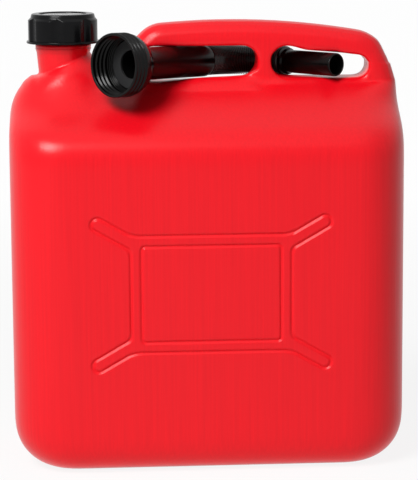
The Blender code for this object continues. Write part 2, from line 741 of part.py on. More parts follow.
def spout_collar(material, parent):
    """Screw collar: ridges round the mouth, a conical shoulder and a plate behind the flange."""
    valley = COLLAR_RADIUS
    crest = COLLAR_RADIUS + COLLAR_RIDGE
    outer = [(crest - COLLAR_MOUTH_ROUND, 0.0)]
    for k in range(COLLAR_RIDGES):
        start = COLLAR_MOUTH_ROUND + COLLAR_RIDGE_PITCH * k
        outer.append((crest, start))
        outer.append((crest, start + COLLAR_RIDGE_FLAT))
        outer.append((valley, start + (COLLAR_RIDGE_FLAT + COLLAR_RIDGE_FOOT) / 2))
        if k < COLLAR_RIDGES - 1:
            outer.append((valley, start + COLLAR_RIDGE_FOOT))
    plate_front = COLLAR_DEPTH - COLLAR_PLATE
    wall = COLLAR_RADIUS - COLLAR_BORE_RADIUS
    outer += [
        (valley, COLLAR_SHOULDER_START),
        (COLLAR_SEAT_RADIUS + wall, plate_front + wall / 2),
        (COLLAR_SEAT_RADIUS - wall, COLLAR_DEPTH),
    ]
    hole = TUBE_RADIUS + COLLAR_TUBE_CLEARANCE
    inner = [
        (COLLAR_BORE_RADIUS, 0.0),
        (COLLAR_BORE_RADIUS, COLLAR_SHOULDER_START - wall),
        (COLLAR_SEAT_RADIUS, plate_front - SPOUT_FLANGE_HEIGHT - SPOUT_GASKET_HEIGHT),
        (COLLAR_SEAT_RADIUS, plate_front),
        (hole, plate_front),
        (hole, COLLAR_DEPTH),
    ]
    return along_tube(turned("spout_collar", ring_wall(outer, inner), ROUND_SIDES, material), parent)


def flange_place():
    """Heights of the tube's flange inside the collar, low and high."""
    high = COLLAR_DEPTH - COLLAR_PLATE - GAP
    return high - SPOUT_FLANGE_HEIGHT, high


def spout_gasket(material, parent):
    flange_low, _ = flange_place()
    high = flange_low - GAP
    low = high - SPOUT_GASKET_HEIGHT
    outer = COLLAR_SEAT_RADIUS - FLANGE_CLEARANCE
    inner = TUBE_RADIUS - TUBE_WALL
    profile = [(inner, low), (outer, low), (outer, high), (inner, high)]
    return along_tube(turned("spout_gasket", profile, ROUND_SIDES, material), parent)


def spout_tube(material, parent):
    """Smooth tube with a flange inside the collar and a shoulder down to the bellows."""
    flange_low, flange_high = flange_place()
    flange_radius = COLLAR_SEAT_RADIUS - FLANGE_CLEARANCE
    bore = TUBE_RADIUS - TUBE_WALL
    end_bore = BELLOWS_RADIUS - BELLOWS_VALLEY - BELLOWS_WALL
    outer = [
        (flange_radius, flange_low),
        (flange_radius, flange_high),
        (TUBE_RADIUS, flange_high),
        (TUBE_RADIUS, TUBE_LENGTH - TUBE_END_ROUND),
        (TUBE_RADIUS - TUBE_END_ROUND / 3, TUBE_LENGTH - TUBE_END_ROUND / 3),
        (TUBE_RADIUS - TUBE_END_ROUND, TUBE_LENGTH),
    ]
    inner = [
        (bore, flange_low),
        (bore, TUBE_LENGTH - TUBE_END_ROUND * 2),
        (end_bore, TUBE_LENGTH - TUBE_END_ROUND / 2),
        (end_bore, TUBE_LENGTH),
    ]
    return along_tube(turned("spout_tube", ring_wall(outer, inner), TUBE_SIDES, material), parent)


def bellows_path(distance):
    """Place on the bellows' centre line and the way out of its bend, which turns to the right."""
    angle = min(BEND, max(0.0, (distance - BELLOWS_LEAD) / BELLOWS_BEND_RADIUS))
    beyond = distance - BELLOWS_LEAD - angle * BELLOWS_BEND_RADIUS
    centre = Vector((BELLOWS_LEAD, -BELLOWS_BEND_RADIUS, 0.0))
    outward = Vector((math.sin(angle), math.cos(angle), 0.0))
    along = Vector((math.cos(angle), -math.sin(angle), 0.0))
    return centre + outward * BELLOWS_BEND_RADIUS + along * beyond, outward


def bellows_ring(distance, radius):
    middle, outward = bellows_path(distance)
    ring = []
    for k in range(BELLOWS_SIDES):
        angle = math.tau * k / BELLOWS_SIDES
        offset = outward * (radius * math.cos(angle)) + Vector((0.0, 0.0, radius * math.sin(angle)))
        ring.append(middle + offset)
    return ring


def spout_bellows(material, parent):
    """Ribbed bend: each rib is a crest and a valley, and the bore runs through it."""
    start = GAP
    end = BELLOWS_LENGTH - GAP
    valley = BELLOWS_RADIUS - BELLOWS_VALLEY
    bore = valley - BELLOWS_WALL
    pitch = (end - start - 2 * BELLOWS_CUFF) / BELLOWS_RIBS
    rings = [bellows_ring(start, valley)]
    for k in range(BELLOWS_RIBS):
        rings.append(bellows_ring(start + BELLOWS_CUFF + pitch * k, valley))
        rings.append(bellows_ring(start + BELLOWS_CUFF + pitch * (k + 0.5), BELLOWS_RADIUS))
    rings.append(bellows_ring(end - BELLOWS_CUFF, valley))
    rings.append(bellows_ring(end, valley))
    bore_steps = BELLOWS_RIBS // 2
    for k in range(bore_steps + 1):
        rings.append(bellows_ring(end + (start - end) * k / bore_steps, bore))
    bm = bmesh.new()
    loft(bm, rings, closed=True)
    item = add_object("spout_bellows", bm, material)
    item.parent = parent
    return item


def nozzle_pivot(parent):
    """The line about which the nozzle swings from the end of the bend to the straight spout."""
    bent, _ = bellows_path(BELLOWS_LENGTH)
    straight = Vector((BELLOWS_LENGTH, 0.0, 0.0))
    step = straight - bent
    square = Vector((-step.y, step.x, 0.0))
    place = (bent + straight) / 2 + square / (2 * math.tan(BEND / 2))
    return add_empty("nozzle_pivot", place, parent=parent)


def spout_nozzle(material, pivot):
    end_bore = BELLOWS_RADIUS - BELLOWS_VALLEY - BELLOWS_WALL
    bore = NOZZLE_RADIUS - NOZZLE_WALL
    cuff = BELLOWS_RADIUS - BELLOWS_VALLEY
    outer = [
        (cuff, 0.0),
        (cuff, NOZZLE_STEP / 2),
        (NOZZLE_RADIUS, NOZZLE_STEP),
        (NOZZLE_RADIUS, NOZZLE_LENGTH - NOZZLE_EDGE_ROUND),
        (NOZZLE_RADIUS - NOZZLE_EDGE_ROUND, NOZZLE_LENGTH),
    ]
    inner = [
        (end_bore, 0.0),
        (bore, NOZZLE_STEP),
        (bore, NOZZLE_LENGTH),
    ]
    item = turned("spout_nozzle", ring_wall(outer, inner), TUBE_SIDES, material)
    middle, outward = bellows_path(BELLOWS_LENGTH)
    item.parent = pivot
    item.location = middle - pivot.location
    item.rotation_euler = (math.pi / 2, 0.0, math.pi / 2 - BEND)
    return item


def build():
    clear_scene()
    red = make_material("red_body", RED, 0.38)
    black = make_material("black_cap", BLACK, 0.35)
    dark = make_material("black_spout", BLACK, 0.40)
    rubber = make_material("gasket", RUBBER, 0.70)
    can_body(red)
    cap(black)
    cap_gasket(rubber)
    spout = add_empty("spout_frame", (SPOUT_X, SPOUT_Y, SPOUT_Z), (0.0, TILT, HEADING))
    spout_collar(dark, spout)
    spout_gasket(rubber, spout)
    spout_tube(dark, spout)
    spout_bellows(dark, spout)
    spout_nozzle(dark, nozzle_pivot(spout))


build()
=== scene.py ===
"""Fuel can with a screw cap and a flexible spout put away in its handle: the dressed model."""
import math

import bmesh
import bpy
from bpy.props import FloatProperty, FloatVectorProperty, IntProperty, PointerProperty
from mathutils import Euler, Matrix, Vector


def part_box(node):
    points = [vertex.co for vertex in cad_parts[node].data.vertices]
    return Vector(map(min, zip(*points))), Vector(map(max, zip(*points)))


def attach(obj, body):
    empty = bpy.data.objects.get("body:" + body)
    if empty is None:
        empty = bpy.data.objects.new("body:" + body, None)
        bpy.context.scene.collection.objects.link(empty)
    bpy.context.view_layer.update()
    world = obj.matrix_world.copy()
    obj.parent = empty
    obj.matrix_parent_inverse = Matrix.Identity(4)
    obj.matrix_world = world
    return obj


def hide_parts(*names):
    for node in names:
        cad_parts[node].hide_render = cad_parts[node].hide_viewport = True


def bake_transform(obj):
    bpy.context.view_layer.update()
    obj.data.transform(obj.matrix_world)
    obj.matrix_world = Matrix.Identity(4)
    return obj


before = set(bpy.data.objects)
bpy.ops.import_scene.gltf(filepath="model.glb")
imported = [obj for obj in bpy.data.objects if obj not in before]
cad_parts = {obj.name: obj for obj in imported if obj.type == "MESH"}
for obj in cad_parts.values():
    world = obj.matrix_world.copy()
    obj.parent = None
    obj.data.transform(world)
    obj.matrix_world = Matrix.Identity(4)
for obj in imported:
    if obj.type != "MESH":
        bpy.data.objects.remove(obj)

bl_info = {
    "name": "Fuel Can Dressing",
    "version": (1, 0, 0),
    "blender": (4, 5, 0),
    "location": "3D View > Sidebar > Fuel Can",
    "description": "Models and finishes the skin, cap and spout of a moulded fuel can",
    "category": "Object",
}

# Places that the frame's solids have, and the gap between two of them, in metres
CAN_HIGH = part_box("can_body")[1]
CAP_LOW, CAP_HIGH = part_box("cap")
SEAL_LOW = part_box("cap_gasket")[0]
HALF_DEPTH = CAN_HIGH.y
NECK_X = (CAP_LOW.x + CAP_HIGH.x) / 2
GAP = 0.0003

# The can's ridge, handle and windows
RIDGE_HEIGHT = 0.3493
HALF_HANDLE = 0.019
BAR_UNDERSIDE = 0.3844
GRIP_UNDERSIDE = 0.3827
GRIP_UNDERSIDE_FROM = 0.080
GRIP_UNDERSIDE_SLOPE = 0.0857

# The neck, its bead and the slanted crease round its foot
FOOT_ABOVE_RIDGE = 0.0174
FOOT_SLANT = 0.36
NECK_RADIUS = 0.0245
NECK_BORE_RADIUS = 0.0210
NECK_WALL_MIDDLE = (NECK_RADIUS + NECK_BORE_RADIUS) / 2
NECK_FINISH_RADIUS = 0.0238
NECK_CUT = 0.3772
NECK_TOP = SEAL_LOW.z - GAP
NECK_STEPS = 96
BEAD_RADIUS = 0.0256
BEAD_HEIGHT = 0.0055
BEAD_TOP = CAP_LOW.z - 0.0010
THREAD_PITCH = 0.005
THREAD_STEPS = 48

# The pressed panel: its area, the half sizes of its two frames, and the rays at the outer one's corners
PANEL_CENTRE = 0.1672
PANEL_HALF_WIDTH = 0.125
PANEL_HALF_HEIGHT = 0.085
INNER_HALF_WIDTH = 0.0628
INNER_HALF_HEIGHT = 0.0437
INNER_CORNER = 0.0035
OUTER_HALF_WIDTH = 0.0724
OUTER_HALF_HEIGHT = 0.0533
OUTER_CORNER = 0.0005
RAY_SLOPE = math.radians(30.0)
RAY_DROP = 0.0061
RAY_BACK = 0.010
RAY_LENGTH = 0.0340
RAY_HALF_WIDTH = 0.0058
RAY_BLEND = 0.004

# The screw cap: radii of its foot, its lobes, the ring on top and the sunk middle
CAP_FOOT = 0.0336
CAP_LOBES = 0.0320
CAP_RING = 0.0290
CAP_RECESS = 0.0219
CAP_RECESS_DEPTH = 0.0012

# The spout: its collar, its tube, its ribbed bend and its nozzle
COLLAR_CREST = 0.0290
COLLAR_VALLEY = 0.0277
COLLAR_BORE = 0.0262
COLLAR_LENGTH = 0.0289
TUBE_LENGTH = 0.1212
TUBE_RADIUS = 0.0149
TUBE_BORE = 0.0129
FLANGE_RADIUS = 0.0222
SPOUT_BEND = math.radians(93.6)
BELLOWS_RADIUS = 0.0139
BELLOWS_VALLEY = 0.0014
BELLOWS_WALL = 0.0016
BELLOWS_BORE = BELLOWS_RADIUS - BELLOWS_VALLEY - BELLOWS_WALL
BELLOWS_BEND_RADIUS = 0.0464
BELLOWS_LEAD = 0.0139
BELLOWS_TAIL = 0.0021
BELLOWS_LENGTH = BELLOWS_LEAD + BELLOWS_BEND_RADIUS * SPOUT_BEND + BELLOWS_TAIL
NOZZLE_LENGTH = 0.0616
NOZZLE_RADIUS = 0.0107
NOZZLE_BORE = 0.0091

# One rib: the share of its pitch, and the share of its height there
RIB_SECTION = (
    (0.0, 0.0),
    (0.14, 0.08),
    (0.30, 0.72),
    (0.42, 0.97),
    (0.58, 0.97),
    (0.70, 0.72),
    (0.86, 0.08),
)

# The frames that the pieces are made in, and the middle of the spout's bend
SPOUT_PLACE = Matrix.Translation((0.0008, 0.015155, 0.367209))
SPOUT_FALL = math.radians(1.95)
SPOUT_TURN = math.radians(44.9)
SPOUT_FRAME = SPOUT_PLACE @ Euler((0.0, SPOUT_FALL, SPOUT_TURN)).to_matrix().to_4x4()
ALONG = Matrix.Rotation(math.pi / 2, 4, "Y")
TUBE_FRAME = SPOUT_FRAME @ Matrix.Translation((-TUBE_LENGTH, 0.0, 0.0)) @ ALONG
NECK_FRAME = Matrix.Translation((NECK_X, 0.0, 0.0))
BEND_CENTRE = Vector((BELLOWS_LEAD, -BELLOWS_BEND_RADIUS, 0.0))

# Where the skin's changes begin and end: a step is (start, end), a band is (step up, step down).
# These lie along X, from the neck's end to the grip's.
SHOULDER_BAND = ((-0.175, -0.167), (-0.161, -0.153))
SHOULDER_END = (-0.165, -0.135)
SILL_ALONG = ((-0.070, -0.056), (0.140, 0.155))
LEFT_WINDOW = ((-0.066, -0.050), (0.040, 0.055))
LEFT_WINDOW_MIDDLE = (-0.022, -0.004)
GRIP_START = (0.078, 0.096)
GRIP_END = (0.120, 0.146)

# These go out to both sides, from the middle of the depth
SILL_FRONT = (0.004, 0.013)
SILL_ACROSS = ((0.006, 0.012), (0.021, 0.030))
BAR_LIP = (0.011, 0.017)
SHOULDER_SIDES = (0.020, 0.060)

# These are heights
SHOULDER_STEP = (RIDGE_HEIGHT - 0.060, RIDGE_HEIGHT - 0.030)
ROOF_STEP = (RIDGE_HEIGHT - 0.052, RIDGE_HEIGHT - 0.024)
SILL_BAND = ((RIDGE_HEIGHT - 0.008, RIDGE_HEIGHT), (0.356, 0.362))

# These are distances off the neck's axis, the nearest feature, the bar's underside and the sill's top
NECK_FOOT_BAND = ((0.026, 0.034), (0.046, 0.075))
WALL_STEP = (0.004, 0.016)
FOOT_STEP = (0.004, 0.014)
BAR_BAND = ((-0.012, -0.004), (0.0015, 0.0115))
SILL_NEAR = (0.004, 0.009)

# How far the skin is moved there, in metres
NECK_DRAW = 0.0015
BAR_DROP = 0.0006
BAR_LIP_DROP = 0.0006
GRIP_DROP = 0.0026
GRIP_END_DROP = 0.0008
SILL_RISE = 0.0018
SILL_MIDDLE_RISE = 0.0014
SHOULDER_FILL = 0.0026

# Rounds of smoothing: all over, off the features, on the walls, round the neck's foot, on the sill's lip
SMOOTHING_PULL = 0.5
SMOOTHING_PUSH = -0.52
SMOOTHING_ROUNDS = (4, 8, 40, 140, 30)
SMOOTHING_CELL = 0.0016

# Specular level of the black plastics where nothing else is said
BLACK_LEVEL = 0.12


# Meshes

def merged_copy(node):
    """A node's shape with its loose triangles joined."""
    bm = bmesh.new()
    bm.from_mesh(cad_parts[node].data)
    bmesh.ops.remove_doubles(bm, verts=bm.verts, dist=0.00001)
    return bm


def spun(profile, steps, matrix=Matrix.Identity(4), closed=True):
    """A profile of (radius, height) points turned about the local Z axis."""
    bm = bmesh.new()
    verts = [bm.verts.new((radius, 0.0, height)) for radius, height in profile]
    edges = [bm.edges.new(pair) for pair in zip(verts, verts[1:])]
    if closed:
        edges.append(bm.edges.new((verts[-1], verts[0])))
    bmesh.ops.spin(
        bm,
        geom=verts + edges,
        cent=(0.0, 0.0, 0.0),
        axis=(0.0, 0.0, 1.0),
        dvec=(0.0, 0.0, 0.0),
        angle=math.tau,
        steps=steps,
        use_merge=True,
    )
    bmesh.ops.remove_doubles(bm, verts=bm.verts, dist=0.000005)
    bmesh.ops.recalc_face_normals(bm, faces=bm.faces)
    bmesh.ops.transform(bm, matrix=matrix, verts=bm.verts)
    return bm


def soften(bm, width, segments=2, least_degrees=25.0):
    """Round every edge that turns more than a given angle."""
    least = math.radians(least_degrees)
    sharp = [e for e in bm.edges if len(e.link_faces) == 2 and e.calc_face_angle(0.0) > least]
    bmesh.ops.bevel(
        bm,
        geom=sharp,
        offset=width,
        offset_type="OFFSET",
        segments=segments,
        profile=0.5,
        affect="EDGES",
        clamp_overlap=True,
        material=-1,
    )


def helix(radius, root_half, crest_half, rise, start, turns, matrix=Matrix.Identity(4), phase=0.0):
    """One screw thread: a small tapered section, sunk a little in its wall, carried round and up."""
    bm = bmesh.new()
    root, crest = radius - rise / 4, radius + rise
    section = [
        (root, start - root_half),
        (crest, start - crest_half),
        (crest, start + crest_half),
        (root, start + root_half),
    ]
    verts = [bm.verts.new((r, 0.0, z)) for r, z in section]
    face = bm.faces.new(verts)
    bmesh.ops.rotate(bm, verts=verts, matrix=Matrix.Rotation(phase, 3, "Z"))
    steps = round(turns * THREAD_STEPS)
    bmesh.ops.spin(
        bm,
        geom=[face] + list(face.edges) + verts,
        cent=(0.0, 0.0, 0.0),
        axis=(0.0, 0.0, 1.0),
        dvec=(0.0, 0.0, THREAD_PITCH * turns / steps),
        angle=math.tau * turns,
        steps=steps,
    )
    bmesh.ops.recalc_face_normals(bm, faces=bm.faces)
    bmesh.ops.transform(bm, matrix=matrix, verts=bm.verts)
    return bm


def in_order(items):
    """Each item once, in the order of the mesh, so that every run gives the same shape."""
    return list(dict.fromkeys(items))


def joined(target, *others):
    """Add the other shapes to the first one."""
    for other in others:
        mesh = bpy.data.meshes.new("joined_part")
        other.to_mesh(mesh)
        other.free()
        target.from_mesh(mesh)
        bpy.data.meshes.remove(mesh)
    return target


def add_piece(name, bm, material, smooth_degrees=40.0):
    """A shape as a smooth-shaded object at the origin, with its place in its mesh."""
    mesh = bpy.data.meshes.new(name)
    bm.to_mesh(mesh)
    bm.free()
    mesh.materials.append(material)
    mesh.shade_smooth()
    mesh.set_sharp_from_angle(angle=math.radians(smooth_degrees))
    piece = bpy.data.objects.new(name, mesh)
    bpy.context.scene.collection.objects.link(piece)
    return piece


def finished_mesh(bm, *modifiers):
    """The shape after modifiers of (kind, settings), as a bmesh again."""
    mesh = bpy.data.meshes.new("work")
    bm.to_mesh(mesh)
    bm.free()
    item = bpy.data.objects.new("work", mesh)
    bpy.context.scene.collection.objects.link(item)
    for kind, settings in modifiers:
        modifier = item.modifiers.new(kind.title(), kind)
        for key, value in settings.items():
            setattr(modifier, key, value)
    done = bpy.data.meshes.new_from_object(item.evaluated_get(bpy.context.evaluated_depsgraph_get()))
    result = bmesh.new()
    result.from_mesh(done)
    bpy.data.objects.remove(item)
    bpy.data.meshes.remove(mesh)
    bpy.data.meshes.remove(done)
    return result


# Materials

def node_material(name):
    """A new material, its node tree and its shader."""
    material = bpy.data.materials.new(name)
    material.use_nodes = True
    return material, material.node_tree, material.node_tree.nodes["Principled BSDF"]


def object_noise(tree, scale, detail=2.0, stretch=(1.0, 1.0, 1.0), roughness=0.5):
    """Noise on the object's own coordinates, stretched by a mapping."""
    place = tree.nodes.new("ShaderNodeTexCoord")
    mapping = tree.nodes.new("ShaderNodeMapping")
    mapping.inputs["Scale"].default_value = stretch
    noise = tree.nodes.new("ShaderNodeTexNoise")
    noise.inputs["Scale"].default_value = scale
    noise.inputs["Detail"].default_value = detail
    noise.inputs["Roughness"].default_value = roughness
    tree.links.new(place.outputs["Object"], mapping.inputs["Vector"])
    tree.links.new(mapping.outputs["Vector"], noise.inputs["Vector"])
    return noise.outputs["Fac"]


def ranged(tree, value, from_low, from_high, to_low, to_high, kind="LINEAR"):
    """A value carried from one range to another, and held at its ends."""
    node = tree.nodes.new("ShaderNodeMapRange")
    node.interpolation_type = kind
    node.inputs["From Min"].default_value = from_low
    node.inputs["From Max"].default_value = from_high
    node.inputs["To Min"].default_value = to_low
    node.inputs["To Max"].default_value = to_high
    tree.links.new(value, node.inputs["Value"])
    return node.outputs["Result"]


def bumped(tree, height, strength, distance, below=None):
    """Normals bent by a height, over those of an earlier bump."""
    node = tree.nodes.new("ShaderNodeBump")
    node.inputs["Strength"].default_value = strength
    node.inputs["Distance"].default_value = distance
    tree.links.new(height, node.inputs["Height"])
    if below:
        tree.links.new(below, node.inputs["Normal"])
    return node.outputs["Normal"]


def two_colours(tree, factor, low, high):
    """A colour between two, by a factor."""
    ramp = tree.nodes.new("ShaderNodeValToRGB")
    ramp.color_ramp.elements[0].color = low
    ramp.color_ramp.elements[1].color = high
    tree.links.new(factor, ramp.inputs["Fac"])
    return ramp.outputs["Color"]


def shade(colour, factor):
    """A colour made darker or lighter."""
    return (colour[0] * factor, colour[1] * factor, colour[2] * factor, 1.0)


def mould_seam(tree):
    """1 on the mould's parting line, at the middle of the can's depth, and 0 beside it."""
    line, faded = 0.0002, 0.0011
    place = tree.nodes.new("ShaderNodeTexCoord")
    axes = tree.nodes.new("ShaderNodeSeparateXYZ")
    tree.links.new(place.outputs["Object"], axes.inputs["Vector"])
    beside = tree.nodes.new("ShaderNodeMath")
    beside.operation = "ABSOLUTE"
    tree.links.new(axes.outputs["Y"], beside.inputs[0])
    return ranged(tree, beside.outputs["Value"], line, faded, 1.0, 0.0, "SMOOTHSTEP")


def moulded_red(settings):
    """Blow-moulded red plastic: flow streaks down the walls, a faint grain and the mould's seam."""
    material, tree, shader = node_material("moulded_red_plastic")
    streaks = object_noise(tree, 1.0, detail=3.0, stretch=(480.0, 480.0, 8.0), roughness=0.6)
    grain = object_noise(tree, 650.0)
    patches = object_noise(tree, 9.0, stretch=(1.0, 1.0, 0.5))
    drawn = ranged(tree, streaks, 0.25, 0.75, 0.0, 1.0)
    dark, light = shade(settings.red, 0.95), shade(settings.red, 1.04)
    tree.links.new(two_colours(tree, drawn, dark, light), shader.inputs["Base Color"])
    gloss = ranged(tree, patches, 0.3, 0.7, 0.28, 0.32)
    tree.links.new(gloss, shader.inputs["Roughness"])
    normal = bumped(tree, grain, strength=0.10, distance=0.0002)
    normal = bumped(tree, streaks, settings.streak_strength, distance=0.0006, below=normal)
    normal = bumped(tree, mould_seam(tree), strength=0.5, distance=settings.seam_height, below=normal)
    tree.links.new(normal, shader.inputs["Normal"])
    shader.inputs["IOR"].default_value = 1.50
    shader.inputs["Specular IOR Level"].default_value = 0.27
    return material


def in_recess(tree):
    """1 on the sunk middle of the cap and 0 on its ring and skirt."""
    edge = 0.0005
    place = tree.nodes.new("ShaderNodeTexCoord")
    centred = tree.nodes.new("ShaderNodeMapping")
    centred.inputs["Location"].default_value = (-NECK_X, 0.0, -CAP_HIGH.z)
    reach = tree.nodes.new("ShaderNodeVectorMath")
    reach.operation = "LENGTH"
    tree.links.new(place.outputs["Object"], centred.inputs["Vector"])
    tree.links.new(centred.outputs["Vector"], reach.inputs[0])
    return ranged(tree, reach.outputs["Value"], CAP_RECESS - edge, CAP_RECESS, 1.0, 0.0)


def polish_recess(material):
    """Make the cap's sunk middle glossier than the rest, as its mould is polished there."""
    polished_roughness, polished_level = 0.05, 0.6
    tree = material.node_tree
    shader = tree.nodes["Principled BSDF"]
    inside = in_recess(tree)
    mix = tree.nodes.new("ShaderNodeMix")
    mix.inputs["B"].default_value = polished_roughness
    tree.links.new(inside, mix.inputs["Factor"])
    tree.links.new(shader.inputs["Roughness"].links[0].from_socket, mix.inputs["A"])
    tree.links.new(mix.outputs["Result"], shader.inputs["Roughness"])
    level = ranged(tree, inside, 0.0, 1.0, BLACK_LEVEL, polished_level)
    tree.links.new(level, shader.inputs["Specular IOR Level"])


def moulded_black(name, colour, roughness, level=BLACK_LEVEL):
    """Injection-moulded black plastic with a fine spark-eroded grain and slight unevenness."""
    material, tree, shader = node_material(name)
    grain = object_noise(tree, 900.0, detail=3.0)
    patches = object_noise(tree, 60.0)
    spread = ranged(tree, patches, 0.35, 0.65, 0.0, 1.0)
    dark, light = shade(colour, 0.85), shade(colour, 1.15)
    tree.links.new(two_colours(tree, spread, dark, light), shader.inputs["Base Color"])
    gloss = ranged(tree, patches, 0.3, 0.7, roughness - 0.01, roughness + 0.02)
    tree.links.new(gloss, shader.inputs["Roughness"])
    tree.links.new(bumped(tree, grain, strength=0.12, distance=0.0002), shader.inputs["Normal"])
    shader.inputs["IOR"].default_value = 1.48
    shader.inputs["Specular IOR Level"].default_value = level
    return material


def paint_crest_highlights(material):
    """Lighten the crests of the ribs: a painted highlight, standing in for the light that catches each crest.
    """
    crest_highlight_grey = (0.034, 0.034, 0.034, 1.0)
    tree = material.node_tree
    shader = tree.nodes["Principled BSDF"]
    crest = tree.nodes.new("ShaderNodeAttribute")
    crest.attribute_name = "crest"
    mix = tree.nodes.new("ShaderNodeMix")
    mix.data_type = "RGBA"
    highlight_socket = next(item for item in mix.inputs if item.identifier == "B_Color")
    highlight_socket.default_value = crest_highlight_grey
    plain = next(item for item in mix.inputs if item.identifier == "A_Color")
    done = next(item for item in mix.outputs if item.identifier == "Result_Color")
    tree.links.new(ranged(tree, crest.outputs["Fac"], 0.5, 1.0, 0.0, 1.0), mix.inputs["Factor"])
    tree.links.new(shader.inputs["Base Color"].links[0].from_socket, plain)
    tree.links.new(done, shader.inputs["Base Color"])


def seal_rubber(colour):
    """Dull rubber of the two sealing rings."""
    material, tree, shader = node_material("seal_rubber")
    grain = object_noise(tree, 1400.0, detail=4.0)
    dark, light = shade(colour, 0.7), shade(colour, 1.3)
    tree.links.new(two_colours(tree, grain, dark, light), shader.inputs["Base Color"])
    gloss = ranged(tree, grain, 0.3, 0.7, 0.62, 0.78)
    tree.links.new(gloss, shader.inputs["Roughness"])
    tree.links.new(bumped(tree, grain, strength=0.25, distance=0.0002), shader.inputs["Normal"])
    return material


# The can's skin

def from_neck(x, y):
    """Distance from the neck's axis."""
    return math.hypot(x - NECK_X, y)


def foot_height(x):
    """Height of the slanted crease round the neck's foot."""
    return RIDGE_HEIGHT + FOOT_ABOVE_RIDGE + FOOT_SLANT * (x - NECK_X)


def draw_in_neck(bm, amount):
    """Draw the neck in a little towards its foot."""
    wall, far, fall, least_reach = 0.0255, 0.030, 0.016, 0.001
    for v in bm.verts:
        reach = from_neck(v.co.x, v.co.y)
        if reach < far and v.co.z > RIDGE_HEIGHT:
            below = min(1.0, max(0.0, (NECK_CUT - v.co.z) / fall))
            beyond = min(1.0, max(0.0, (reach - wall) / (far - wall)))
            pull = amount * below * (1 - beyond) / max(reach, least_reach)
            v.co.x -= (v.co.x - NECK_X) * pull
            v.co.y -= v.co.y * pull


def eased(value, start, end):
    """0 before the start, 1 past the end and a smooth step between."""
    share = min(1.0, max(0.0, (value - start) / (end - start)))
    return share * share * (3 - 2 * share)


def within(value, band):
    """1 inside a band and 0 outside it, with a smooth step at each side."""
    step_up, step_down = band
    return eased(value, *step_up) * (1 - eased(value, *step_down))


def underside_height(x):
    """Height of the handle bar's underside, which falls towards the grip end."""
    return min(BAR_UNDERSIDE, GRIP_UNDERSIDE - GRIP_UNDERSIDE_SLOPE * (x - GRIP_UNDERSIDE_FROM))


def bar_drop(x, y, z):
    """How far the handle bar's underside comes down at a place."""
    near_bar = within(z - underside_height(x), BAR_BAND)
    _, window_end = LEFT_WINDOW
    lip = BAR_LIP_DROP * eased(abs(y), *BAR_LIP) * (1 - eased(x, *window_end))
    grip = GRIP_DROP * eased(x, *GRIP_START) + GRIP_END_DROP * eased(x, *GRIP_END)
    return near_bar * (BAR_DROP + lip + grip)


def sill_rise(x, y, z):
    """How far the front lip of the left window's sill comes up at a place."""
    rise = SILL_RISE + SILL_MIDDLE_RISE * eased(x, *LEFT_WINDOW_MIDDLE)
    return rise * within(x, LEFT_WINDOW) * within(z, SILL_BAND) * eased(-y, *SILL_FRONT)


def settle_windows(bm):
    """Bring the bar's underside down to the spout and the sill's front lip up under it."""
    half_depth, lowest, leftmost = 0.030, RIDGE_HEIGHT - 0.009, -0.070
    for v in bm.verts:
        x, y, z = v.co
        if abs(y) > half_depth or z < lowest or x < leftmost:
            continue
        v.co.z -= bar_drop(x, y, z)
        v.co.z += sill_rise(x, y, z)


def fill_shoulder(bm):
    """Make the shoulder beside the neck's foot a little fuller."""
    rightmost, lowest = -0.145, RIDGE_HEIGHT - 0.010
    for v in bm.verts:
        x, y, z = v.co
        if x < rightmost and z > lowest:
            v.co.z += SHOULDER_FILL * within(x, SHOULDER_BAND) * (1 - eased(abs(y), *SHOULDER_SIDES))


def smoothed(bm, verts, factor, rounds):
    """Pull verts towards their neighbours' middle, or push them off it by a negative factor."""
    for _ in range(rounds):
        bmesh.ops.smooth_vert(
            bm, verts=verts, factor=factor, use_axis_x=True, use_axis_y=True, use_axis_z=True
        )


def smooth_within(bm, rounds, weight):
    """Smooth the skin, each vert only as far as a weight from 0 to 1 says."""
    chosen = [(v, weight(*v.co)) for v in bm.verts]
    chosen = [(v, share, v.co.copy()) for v, share in chosen if share > 0.0]
    smoothed(bm, [v for v, _, _ in chosen], SMOOTHING_PULL, rounds)
    for v, share, before in chosen:
        v.co = before.lerp(v.co, share)


def off_features(x, y, z, near, far):
    """0 up to a near distance from the handle's and the neck's foot, and 1 past a far one."""
    handle_side, handle_foot = HALF_HANDLE + 0.001, RIDGE_HEIGHT - 0.006
    neck_side, neck_foot = 0.028, foot_height(x) - 0.003
    off_handle = max(abs(y) - handle_side, handle_foot - z, NECK_X - x)
    off_neck = max(from_neck(x, y) - neck_side, neck_foot - z)
    return eased(min(off_handle, off_neck), near, far)


def on_walls(x, y, z):
    """1 on the plain walls and the roof, and 0 at the features and on the shoulder beside the neck."""
    shoulder = eased(z, *SHOULDER_STEP) * (1 - eased(x, *SHOULDER_END))
    return off_features(x, y, z, *WALL_STEP) * (1 - shoulder)


def round_foot(x, y, z):
    """1 on the roof round the neck's foot."""
    near_neck = within(from_neck(x, y), NECK_FOOT_BAND)
    return off_features(x, y, z, *FOOT_STEP) * near_neck * eased(z, *ROOF_STEP)


def on_sill_lip(x, y, z):
    """1 on both long edges of the windows' sill."""
    off_sill = abs(z - RIDGE_HEIGHT - 0.001)
    return within(abs(y), SILL_ACROSS) * within(x, SILL_ALONG) * (1 - eased(off_sill, *SILL_NEAR))


